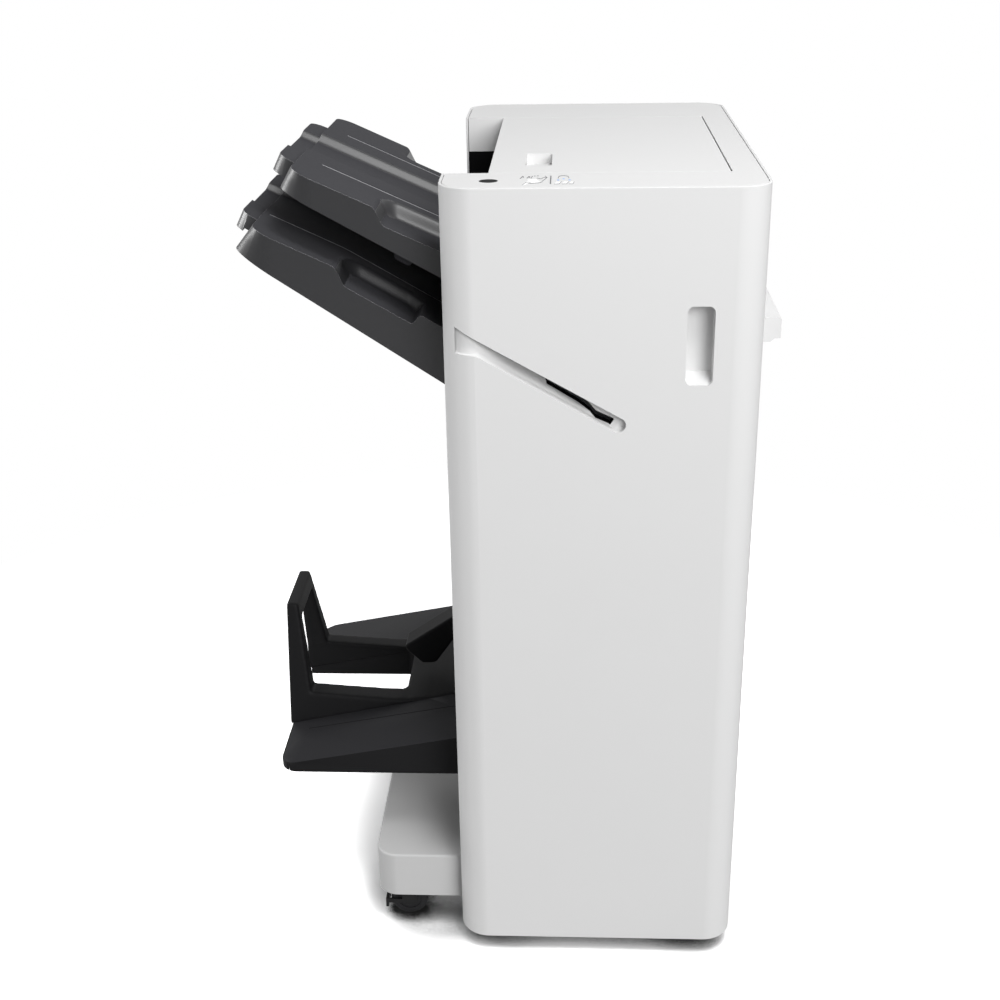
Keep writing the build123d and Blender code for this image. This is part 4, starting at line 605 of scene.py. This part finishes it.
def trayStations(tray):
    left, root = tray["endTop"][0], tray["root"]
    turns = range(0, 91, trayMesh["arcStep"])
    fixed = [left + tray["cornerRadius"] * (1 - math.cos(math.radians(turn))) for turn in turns]
    (x0, x1), corner, step = tray["scallop"], tray["scallopCorner"], trayMesh["cornerStep"][0]
    fixed += spread(x0, x0 + corner, step) + spread(x1 - corner, x1, step)
    start, runIn = left + tray["grooveStart"], tray["grooveRunIn"]
    fixed += [start, start + runIn / 2, start + runIn, root, *tray["stations"]]
    bend, ease = tray["bend"][0], tray["bendEase"]
    free = spread(left, root, trayMesh["step"][0]) + spread(bend - ease, bend + ease, trayMesh["bendStep"])
    return [x for x in thinned(fixed, free, trayMesh["gap"][0]) if left <= x <= root]


def trayRows(tray):
    half = (tray["rear"] - tray["front"]) / 2
    groove = tray["grooveInset"]
    fixed = [0.0, half - tray["openingHalf"]] + [groove + tray["grooveHalf"] * k / 2 for k in range(-2, 3)]
    wall, corner = tray["scallopWall"], tray["scallopCorner"]
    fixed += spread(wall - corner, wall, trayMesh["cornerStep"][1])
    fixed += [half - value for value in spread(tray["valleyFloor"], tray["valleyLip"], trayMesh["lipStep"])]
    insets = thinned(fixed, spread(trayMesh["firstRow"], half, trayMesh["step"][1]), trayMesh["gap"][1])
    insets = [value for value in insets if value <= half]
    return [tray["front"] + v for v in insets] + [tray["rear"] - v for v in reversed(insets) if v < half]


def drawnIn(tray, x, y):  # rows near the long edges follow the rounded corners
    zone, pull = tray["cornerZone"], edgePlace(tray, x)
    for edge, side in ((tray["front"], 1), (tray["rear"], -1)):
        inset = (y - edge) * side
        if inset < zone:
            return edge + side * (pull + inset * (zone - pull) / zone)
    return y


def gridTop(bm, tray, heightAt):
    # The end edge follows its leaning wall down into the valley, and the shift fades out along the tray
    (left, _), (footX, footZ) = tray["endTop"], tray["endLow"]
    lean = (left - footX) / (topLine(tray, footX) - footZ)
    nominal = bm.verts.layers.float.new("station")
    rows, grid = trayRows(tray), []
    for x in trayStations(tray):
        line = []
        for y in rows:
            place = drawnIn(tray, x, y)
            dip = topLine(tray, x) - heightAt(tray, x, place)
            shifted = x - dip * lean * (1 - roundedRamp(x, left, left + tray["leanFade"]))
            vertex = bm.verts.new(spot(shifted, place, topLine(tray, shifted) - dip))
            vertex[nominal] = x
            line.append(vertex)
        grid.append(line)
    for i in range(len(grid) - 1):
        for j in range(len(rows) - 1):
            bm.faces.new((grid[i][j], grid[i + 1][j], grid[i + 1][j + 1], grid[i][j + 1]))
    return grid


def gridRim(grid):  # the outline of the top, front edge first, then the end, the rear and the root
    last = len(grid[0]) - 1
    rim = [grid[i][0] for i in range(len(grid) - 1, 0, -1)] + list(grid[0])
    rim += [grid[i][last] for i in range(1, len(grid))]
    return rim + [grid[-1][j] for j in range(last - 1, 0, -1)]


def skirt(bm, tray, rim, lowAt):
    # Walls from the rim down to the low line: first a strip, then rings at shares of the wall's height
    left, radius = tray["endTop"][0], tray["cornerRadius"]
    middle = (tray["front"] + tray["rear"]) / 2
    lean = left - tray["endLow"][0]
    nominal = bm.verts.layers.float["station"]
    rings, lows, strip = [rim], [], []
    for top in rim:
        x, y = top[nominal], (top.co.y - cabinetFront) / mm
        facing = min(max(1 - (x - left) / radius, 0.0), 1.0)
        low = lowAt(tray, x - lean * facing)
        lows.append(spot(x - lean * facing, y, low))
        lift = roundedRamp(abs(y - middle), tray["valleyFloor"], tray["valleyLip"])
        drop = tray["valleyStrip"] + (tray["strip"] - tray["valleyStrip"]) * lift
        strip.append(min(drop * mm / (top.co.z - lows[-1].z), tray["stripMost"]))
    rings.append([bm.verts.new(top.co.lerp(low, share)) for top, low, share in zip(rim, lows, strip)])
    for share in tray["wallShares"]:
        rings.append([bm.verts.new(top.co.lerp(low, share)) for top, low in zip(rim, lows)])
    walls = []
    for upper, lower in zip(rings, rings[1:]):
        for k in range(len(rim)):
            n = (k + 1) % len(rim)
            walls.append(bm.faces.new((upper[k], upper[n], lower[n], lower[k])))
    return rings, walls


def roundRim(bm, rim, widthMm):
    # The rim gets its moulded radius; the up-facing crest of the radius gets a painted highlight
    pairs = [(rim[k], rim[(k + 1) % len(rim)]) for k in range(len(rim))]
    found = [bm.edges.get(pair) for pair in pairs]
    made = roundEdges(bm, [e for e in found if e], widthMm, trayFinish["rimSegments"])
    bm.normal_update()
    low, high = trayFinish["highlightTilt"]
    for face in made["faces"]:
        if low < face.normal.z < high:
            face.material_index = 1


def highlightGrooves(bm, tray):  # painted highlight on the groove's two up-facing flanks, as on the rim
    start = tray["endTop"][0] + tray["grooveStart"]
    for face in bm.faces:
        middle = face.calc_center_median()
        x, y = (middle.x - cabinetLeft) / mm, (middle.y - cabinetFront) / mm
        off = abs(min(y - tray["front"], tray["rear"] - y) - tray["grooveInset"])
        if off < tray["grooveHalf"] and x > start and face.normal.z > trayFinish["grooveTilt"]:
            face.material_index = 1


def shadeWallsAndFlanks(bm):  # painted shade: walls and steep flanks take the darker, shinier shaded copy; up-facing paper faces keep the lighter lit copy
    for face in bm.faces:
        paperFace = face.normal.z > trayFinish["paperTilt"] and abs(face.normal.y) < trayFinish["paperLean"]
        if not paperFace and face.material_index == 0:
            face.material_index = 2


def outputTray(name, tray):
    bm = bmesh.new()
    grid = gridTop(bm, tray, trayHeight)
    rim = gridRim(grid)
    rings, walls = skirt(bm, tray, rim, lowLine)
    middle = cabinetFront + (tray["front"] + tray["rear"]) / 2 * mm
    besideSlack, endSlack = tray["openingSlack"]
    half = (tray["openingHalf"] + besideSlack) * mm
    endX = cabinetLeft + (tray["endTop"][0] + endSlack) * mm
    below = set(rings[2] + rings[3])
    opening = [f for f in walls if any(v in below for v in f.verts)
               and all(abs(v.co.y - middle) < half and v.co.x < endX for v in f.verts)]
    bmesh.ops.delete(bm, geom=opening, context="FACES")
    bmesh.ops.recalc_face_normals(bm, faces=bm.faces)
    highlightGrooves(bm, tray)
    roundRim(bm, rim, tray["edge"])
    shadeWallsAndFlanks(bm)
    piece = newPiece(name + "_moulded", bm, *trayLooks)
    wall = piece.modifiers.new("wall", "SOLIDIFY")
    wall.thickness = tray["wall"] * mm
    wall.offset = -1
    plain(piece)
    shaded(piece, trayFinish["smoothAngle"])
    return fitted(piece, bodyOf[name], [name])


extension = {"reach": 25.5, "lean": 10.5, "inset": 72.0, "length": 118.0, "drop": 7.0, "height": 20.0,
             "lip": 5.0, "lipGap": 1.5, "lipSteps": (-0.1, 1.4), "bendGap": 1.0, "cornerRadius": 22.0,
             "valleyFloor": 48.0, "valleyLip": 58.8, "valleyDepth": 10.0, "edge": 1.6, "openingHalf": 100.0,
             "grooveInset": 30.0, "strip": 4.0, "valleyStrip": 4.0, "wallShares": (0.6, 1.0)}


def extensionHeight(tray, x, y):
    middle = (tray["front"] + tray["rear"]) / 2
    lift = roundedRamp(abs(y - middle), tray["valleyFloor"], tray["valleyLip"])
    return topLine(tray, x) - tray["valleyDepth"] * (1 - lift)


def extensionLow(tray, x):  # the lip hangs lower, outside the tray's end wall
    return topLine(tray, x) - tray["height"] - (tray["lip"] if x < tray["lipEnd"] else 0.0)


def underside(bm, grid, low):  # closes a piece from below, station by station
    stations, rows = len(grid), len(grid[0])
    front = [low[stations - 1 - i] for i in range(stations)]
    rear = [low[stations - 1 + rows - 1 + i] for i in range(stations)]
    bm.faces.new(low[stations - 2:stations + rows])
    for i in range(1, stations - 2):
        bm.faces.new((front[i], front[i + 1], rear[i + 1], rear[i]))
    bm.faces.new([rear[-2], rear[-1]] + low[stations * 2 + rows - 2:] + [front[-1], front[-2]])


def trayExtension(name, tray):
    slope = (tray["bend"][1] - tray["endTop"][1]) / (tray["bend"][0] - tray["endTop"][0])
    left = tray["endTop"][0] - extension["reach"]
    leftZ = tray["endTop"][1] - slope * extension["reach"] - extension["drop"]
    right = left + extension["length"]
    lipEnd = tray["endLow"][0] - extension["lipGap"]
    foot, bend = left - extension["lean"], right - extension["bendGap"]
    piece = {**tray, **extension}
    piece.update({
        "front": tray["front"] + extension["inset"], "rear": tray["rear"] - extension["inset"], "root": right,
        "endTop": (left, leftZ), "bend": (bend, leftZ + slope * (bend - left)),
        "rootTop": leftZ + slope * (right - left), "lipEnd": lipEnd,
        "stations": [lipEnd + step for step in extension["lipSteps"]],
        "endLow": (foot, leftZ + slope * (foot - left) - extension["height"] - extension["lip"]),
    })
    bm = bmesh.new()
    grid = gridTop(bm, piece, extensionHeight)
    rim = gridRim(grid)
    rings, _ = skirt(bm, piece, rim, extensionLow)
    underside(bm, grid, rings[-1])
    bmesh.ops.recalc_face_normals(bm, faces=bm.faces)
    roundRim(bm, rim, extension["edge"])
    shadeWallsAndFlanks(bm)
    made = newPiece(name + "_moulded", bm, *trayLooks)
    shaded(made, trayFinish["smoothAngle"])
    return fitted(made, bodyOf[name], [name])


for name, shape in trays.items():
    tray = {**trayCommon, **shape}
    outputTray(name, tray)
    trayExtension(name + "_extension", tray)
print("trays made")


# Pictograms printed on the top cover's front strip: paper, arrows and rollers, in inks 0.12 to 0.18 mm thick
# Places are u mm to the right and v to the back, where v is stretched: each unit of v is 4 mm

pictograms = {
    "left": 93.3, "front": 21.0, "stretch": 4.0, "base": 1081.02, "height": 0.12, "lift": 0.25,
    "looks": ("whiteInk", "darkInk", "blueInk"),
    "areas": (  # which ink, and the corners
        (0, ((8.5, 6.5), (14, 1.8), (24, 3.0), (18.5, 8.0))),
        (0, ((4.2, -1.0), (7, -1.0), (11.5, 3.2), (9.5, 4.6))),
        (0, ((40, 0.8), (45, 0.8), (47.5, 3.6), (42.5, 3.6))),
        (0, ((48.5, 0.8), (53.5, 0.8), (56, 3.6), (51, 3.6))),
        (0, ((57, 0.8), (61, 0.8), (62.2, 3.6), (59, 3.6))),
        (1, ((34.9, 0.3), (36.3, 0.3), (36.3, 12.2), (34.9, 12.2))),
        (2, ((43, 5.2), (45.4, 5.2), (45.4, 6.8), (43, 6.8))),
        (2, ((49.3, 7), (51.7, 7), (51.7, 8.6), (49.3, 8.6))),
        (2, ((56, 5.2), (58.4, 5.2), (58.4, 6.8), (56, 6.8))),
    ),
    "lines": (  # the width of a dark line, and its points
        (0.55, ((13.6, 1.2), (24.6, 2.4), (31.2, 9.8), (29, 12))),
        (0.5, ((19.6, 9.2), (24.2, 7.8), (28.6, 10.4), (31, 9.8))),
        (0.5, ((3.6, -1.2), (8.0, 2.6), (13.6, 1.2))),
        (0.95, ((0.2, 8.4), (3.2, 11.8), (4.2, 10))),
        (0.95, ((8, 8.8), (10.4, 11.6), (11.4, 9.8))),
        (0.8, ((12.8, 8.6), (14.2, 12))),
        (0.6, ((15.8, 12), (17.8, 12.2))),
        (0.6, ((19.4, 12.2), (21.4, 12.4))),
        (0.6, ((44, 8.4), (45, 11.4), (48.5, 12.4), (52, 12.4), (55.5, 11.4), (56.5, 8.6))),
        (0.45, ((39.6, 0.3), (45.4, 0.3), (48, 3.6))),
        (0.45, ((48.2, 0.3), (53.8, 0.3), (56.4, 3.6))),
        (0.45, ((56.7, 0.3), (61.2, 0.3), (62.4, 3.6))),
    ),
}


def inkPrism(bm, corners, ink):
    low, high = pictograms["base"], pictograms["base"] + pictograms["height"] * (1 + pictograms["lift"] * ink)
    places = [(pictograms["left"] + u, pictograms["front"] + pictograms["stretch"] * v) for u, v in corners]
    foot = [bm.verts.new(spot(x, y, low)) for x, y in places]
    head = [bm.verts.new(spot(x, y, high)) for x, y in places]
    faces = [bm.faces.new(head), bm.faces.new(foot[::-1])]
    for k in range(len(places)):
        n = (k + 1) % len(places)
        faces.append(bm.faces.new((foot[k], foot[n], head[n], head[k])))
    for face in faces:
        face.material_index = ink


def printPictograms():
    bm = bmesh.new()
    for ink, corners in pictograms["areas"]:
        inkPrism(bm, corners, ink)
    for width, points in pictograms["lines"]:
        for (u0, v0), (u1, v1) in zip(points, points[1:]):
            half = width / 2 / math.hypot(u1 - u0, v1 - v0)
            du, dv = (v0 - v1) * half, (u1 - u0) * half
            inkPrism(bm, ((u0 - du, v0 - dv), (u1 - du, v1 - dv), (u1 + du, v1 + dv), (u0 + du, v0 + dv)), 1)
    bmesh.ops.recalc_face_normals(bm, faces=bm.faces)
    piece = newPiece("top_pictograms", bm, *pictograms["looks"])
    return fitted(piece, bodyOf["top_cover"])


printPictograms()
print("pictograms printed")


# Rear cover screws: pan heads with a cross recess, set on the CAD places by Geometry Nodes

screwHead = {"profile": ((0.0, 1.75), (0.45, 1.74), (0.8, 1.72), (1.2, 1.67), (1.6, 1.6), (2.0, 1.5),
                         (2.6, 1.25), (3.1, 0.95), (3.45, 0.6), (3.6, 0.3), (3.6, 0.0)),
             "steps": 48, "armLong": 2.1, "armHalf": 0.5, "recess": 1.1, "scale": 1.0}


def screwHeadMesh():
    bm = bmesh.new()
    rings = []
    for radius, height in screwHead["profile"]:
        ring = []
        for k in range(screwHead["steps"] if radius else 1):
            turn = 2 * math.pi * k / screwHead["steps"]
            x, z = radius * math.cos(turn), radius * math.sin(turn)
            near, far = sorted((abs(x), abs(z)))
            inCross = near < screwHead["armHalf"] and far < screwHead["armLong"]
            ring.append(bm.verts.new(Vector((x, height - (screwHead["recess"] if inCross else 0.0), z)) * mm))
        rings.append(ring)
    for inner, outer in zip(rings, rings[1:]):
        for k in range(len(outer)):
            n = (k + 1) % len(outer)
            if len(inner) == 1:
                bm.faces.new((inner[0], outer[k], outer[n]))
            else:
                bm.faces.new((inner[k], outer[k], outer[n], inner[n]))
    bm.faces.new(rings[-1])
    bmesh.ops.recalc_face_normals(bm, faces=bm.faces)
    mesh = bpy.data.meshes.new("screwHead")
    bm.to_mesh(mesh)
    bm.free()
    mesh.shade_smooth()
    mesh.set_sharp_from_angle(angle=math.radians(softening["smoothAngle"]))
    return mesh


def islandFeet(node):  # the place under each separate body of a node, at its lowest y
    bm = bmesh.new()
    bm.from_mesh(nodes[node].data)
    bmesh.ops.remove_doubles(bm, verts=bm.verts, dist=softening["weldMm"] * mm)
    left, feet = set(bm.verts), []
    while left:
        island, edge = set(), [left.pop()]
        while edge:
            vertex = edge.pop()
            island.add(vertex)
            beside = {e.other_vert(vertex) for e in vertex.link_edges} & left
            left -= beside
            edge += list(beside)
        xs, ys, zs = zip(*(v.co for v in island))
        feet.append(Vector(((min(xs) + max(xs)) / 2, min(ys), (min(zs) + max(zs)) / 2)))
    bm.free()
    return sorted(feet, key=lambda place: (round(place.x, 4), place.z))


def screwTree(material):
    tree = bpy.data.node_groups.new("screwRows", "GeometryNodeTree")
    tree.interface.new_socket("Geometry", in_out="INPUT", socket_type="NodeSocketGeometry")
    head = tree.interface.new_socket("Head", in_out="INPUT", socket_type="NodeSocketObject")
    size = tree.interface.new_socket("Head Scale", in_out="INPUT", socket_type="NodeSocketFloat")
    tree.interface.new_socket("Geometry", in_out="OUTPUT", socket_type="NodeSocketGeometry")
    given = addNode(tree, "NodeGroupInput")
    shape = addNode(tree, "GeometryNodeObjectInfo", links={"Object": given.outputs["Head"]})
    rows = addNode(tree, "GeometryNodeInstanceOnPoints",
                   links={"Points": given.outputs["Geometry"], "Instance": shape.outputs["Geometry"],
                          "Scale": given.outputs["Head Scale"]})
    real = addNode(tree, "GeometryNodeRealizeInstances", links={"Geometry": rows.outputs["Instances"]})
    coated = addNode(tree, "GeometryNodeSetMaterial", inputs={"Material": material},
                     links={"Geometry": real.outputs["Geometry"]})
    addNode(tree, "NodeGroupOutput", links={"Geometry": coated.outputs["Geometry"]})
    return tree, head.identifier, size.identifier


def setScrews(node):
    head = bpy.data.objects.new("screwHead", screwHeadMesh())
    bm = bmesh.new()
    for place in islandFeet(node):
        bm.verts.new(place)
    piece = newPiece(node + "_pan_heads", bm)
    tree, headSocket, sizeSocket = screwTree(finish["groundSteel"])
    rows = piece.modifiers.new("rows", "NODES")
    rows.node_group = tree
    rows[headSocket] = head
    rows[sizeSocket] = screwHead["scale"]
    plain(piece)
    bpy.data.objects.remove(head)
    return fitted(piece, bodyOf[node], [node])


setScrews("cover_screws")
print("screws set")


# Studio: white world, pale floor, three softboxes, two wide suns and the photograph's view

studio = {"sky": 0.22, "floorColour": "#F6F6F6", "floorShade": "#B4B4B4", "floorSize": 60.0,
          "contactReach": 0.12, "contactTone": (0.5, 1.0), "contactDark": 0.01, "contactSamples": 16,
          "fadeStart": 0.9, "fadeEnd": 1.5,
          "softboxes": {
              "frontBox": {"at": (1500, -2300, 2100), "aim": (200, 0, 700), "size": 1.6, "power": 27.0},
              "topBox": {"at": (700, -735, 2905), "aim": (0, 300, 900), "size": 0.8, "power": 28.0},
              "leftBox": {"at": (-2600, 700, 1200), "aim": (0, 300, 1000), "size": 0.8, "power": 38.0}},
          "suns": {"frontRight": {"from": (0.5, -1.0, 0.45), "strength": 1.4, "angle": 30},
                   "rearFill": {"from": (1.2, 2.0, 1.2), "strength": 0.4, "angle": 60}}}


def eitherRay(tree, *kinds):  # 1 for rays of the kinds, 0 for the others
    path = addNode(tree, "ShaderNodeLightPath")
    found = path.outputs[kinds[0]]
    for kind in kinds[1:]:
        found = addNode(tree, "ShaderNodeMath", {"operation": "MAXIMUM"},
                        links={0: found, 1: path.outputs[kind]}).outputs[0]
    return found


def makeWorld():
    world = bpy.data.worlds.new("whiteStudio")
    world.use_nodes = True
    tree = world.node_tree
    tree.nodes.clear()
    white = srgb("#FFFFFF")
    light = addNode(tree, "ShaderNodeBackground", inputs={"Color": white, "Strength": studio["sky"]})
    seen = addNode(tree, "ShaderNodeBackground", inputs={"Color": white, "Strength": 1.0})
    direct = eitherRay(tree, "Is Camera Ray", "Is Glossy Ray", "Is Transmission Ray")
    mix = addNode(tree, "ShaderNodeMixShader", links={0: direct, 1: light.outputs[0], 2: seen.outputs[0]})
    addNode(tree, "ShaderNodeOutputWorld", links={"Surface": mix.outputs[0]})
    scene.world = world


def makeFloor():
    # White paper, exposed so that wide soft shadows burn out; the contact shadows are painted shadow, from
    # ambient occlusion darkening the floor colour near the object
    bm = bmesh.new()
    bmesh.ops.create_grid(bm, x_segments=1, y_segments=1, size=studio["floorSize"] / 2)
    mesh = bpy.data.meshes.new("studioFloor")
    bm.to_mesh(mesh)
    bm.free()
    material, tree = newTree("paleFloor")
    # Painted contact shadow: ambient occlusion within contactReach darkens the floor's colour, seen by camera
    # rays only
    near = addNode(tree, "ShaderNodeAmbientOcclusion", {"samples": studio["contactSamples"]},
                   inputs={"Distance": studio["contactReach"], "Color": srgb(studio["floorColour"])})
    low, high = studio["contactTone"]
    contact = addNode(tree, "ShaderNodeMapRange",
                      inputs={"From Min": low, "From Max": high, "To Min": studio["contactDark"]},
                      links={"Value": near.outputs["AO"]})
    tone = addNode(tree, "ShaderNodeHueSaturation", inputs={"Color": srgb(studio["floorColour"])},
                   links={"Value": contact.outputs["Result"]})
    coat = addNode(tree, "ShaderNodeBsdfDiffuse", links={"Color": tone.outputs["Color"]})
    double = addNode(tree, "ShaderNodeAddShader", links={0: coat.outputs[0], 1: coat.outputs[0]})
    exposed = addNode(tree, "ShaderNodeAddShader", links={0: double.outputs[0], 1: coat.outputs[0]})
    white = addNode(tree, "ShaderNodeEmission", inputs={"Color": srgb("#FFFFFF"), "Strength": 1.0})
    where = addNode(tree, "ShaderNodeTexCoord").outputs["Object"]
    distance = addNode(tree, "ShaderNodeVectorMath", {"operation": "LENGTH"}, links={0: where})
    away = addNode(tree, "ShaderNodeMapRange",
                   inputs={"From Min": studio["fadeStart"], "From Max": studio["fadeEnd"]},
                   links={"Value": distance.outputs["Value"]})
    sweep = addNode(tree, "ShaderNodeMixShader",
                    links={0: away.outputs["Result"], 1: exposed.outputs[0], 2: white.outputs[0]})
    plainCoat = addNode(tree, "ShaderNodeBsdfDiffuse", inputs={"Color": srgb(studio["floorColour"])})
    shade = addNode(tree, "ShaderNodeBsdfDiffuse", inputs={"Color": srgb(studio["floorShade"])})
    reflected = eitherRay(tree, "Is Glossy Ray", "Is Transmission Ray")
    indirect = addNode(tree, "ShaderNodeMixShader",
                       links={0: reflected, 1: shade.outputs[0], 2: plainCoat.outputs[0]})
    mix = addNode(tree, "ShaderNodeMixShader",
                  links={0: eitherRay(tree, "Is Camera Ray"), 1: indirect.outputs[0], 2: sweep.outputs[0]})
    addNode(tree, "ShaderNodeOutputMaterial", links={"Surface": mix.outputs[0]})
    mesh.materials.append(material)
    floor = bpy.data.objects.new("studioFloor", mesh)
    scene.collection.objects.link(floor)


def makeLights():
    for name, box in studio["softboxes"].items():
        lamp = bpy.data.lights.new(name, "AREA")
        lamp.shape = "SQUARE"
        lamp.size = box["size"]
        lamp.energy = box["power"]
        item = bpy.data.objects.new(name, lamp)
        item.location = spot(*box["at"])
        item.rotation_euler = (spot(*box["at"]) - spot(*box["aim"])).to_track_quat("Z", "Y").to_euler()
        item.visible_camera = False
        scene.collection.objects.link(item)
    for name, sun in studio["suns"].items():
        lamp = bpy.data.lights.new(name, "SUN")
        lamp.energy = sun["strength"]
        lamp.angle = math.radians(sun["angle"])
        item = bpy.data.objects.new(name, lamp)
        item.rotation_euler = Vector(sun["from"]).to_track_quat("Z", "Y").to_euler()
        scene.collection.objects.link(item)


view = {"pitch": 23.71, "yaw": -3.05, "roll": -1.04, "place": (150.93, -1582.55, 1396.76), "lens": 50.855,
        "sensor": 36.0}


def makeCamera():
    pitch, yaw, roll = (math.radians(view[name]) for name in ("pitch", "yaw", "roll"))
    ahead = Vector((math.sin(yaw) * math.cos(pitch), math.cos(yaw) * math.cos(pitch), -math.sin(pitch)))
    level = Vector((math.cos(yaw), -math.sin(yaw), 0.0))
    up = level.cross(ahead)
    right = math.cos(roll) * level + math.sin(roll) * up
    top = -math.sin(roll) * level + math.cos(roll) * up
    data = bpy.data.cameras.new("photoView")
    data.lens = view["lens"]
    data.sensor_width = view["sensor"]
    camera = bpy.data.objects.new("photoView", data)
    turn = Matrix((right, top, -ahead)).transposed().to_4x4()
    camera.matrix_world = Matrix.Translation(spot(*view["place"])) @ turn
    scene.collection.objects.link(camera)
    scene.camera = camera


makeWorld()
makeFloor()
makeLights()
makeCamera()
scene.view_settings.view_transform = "Standard"
print("studio made")
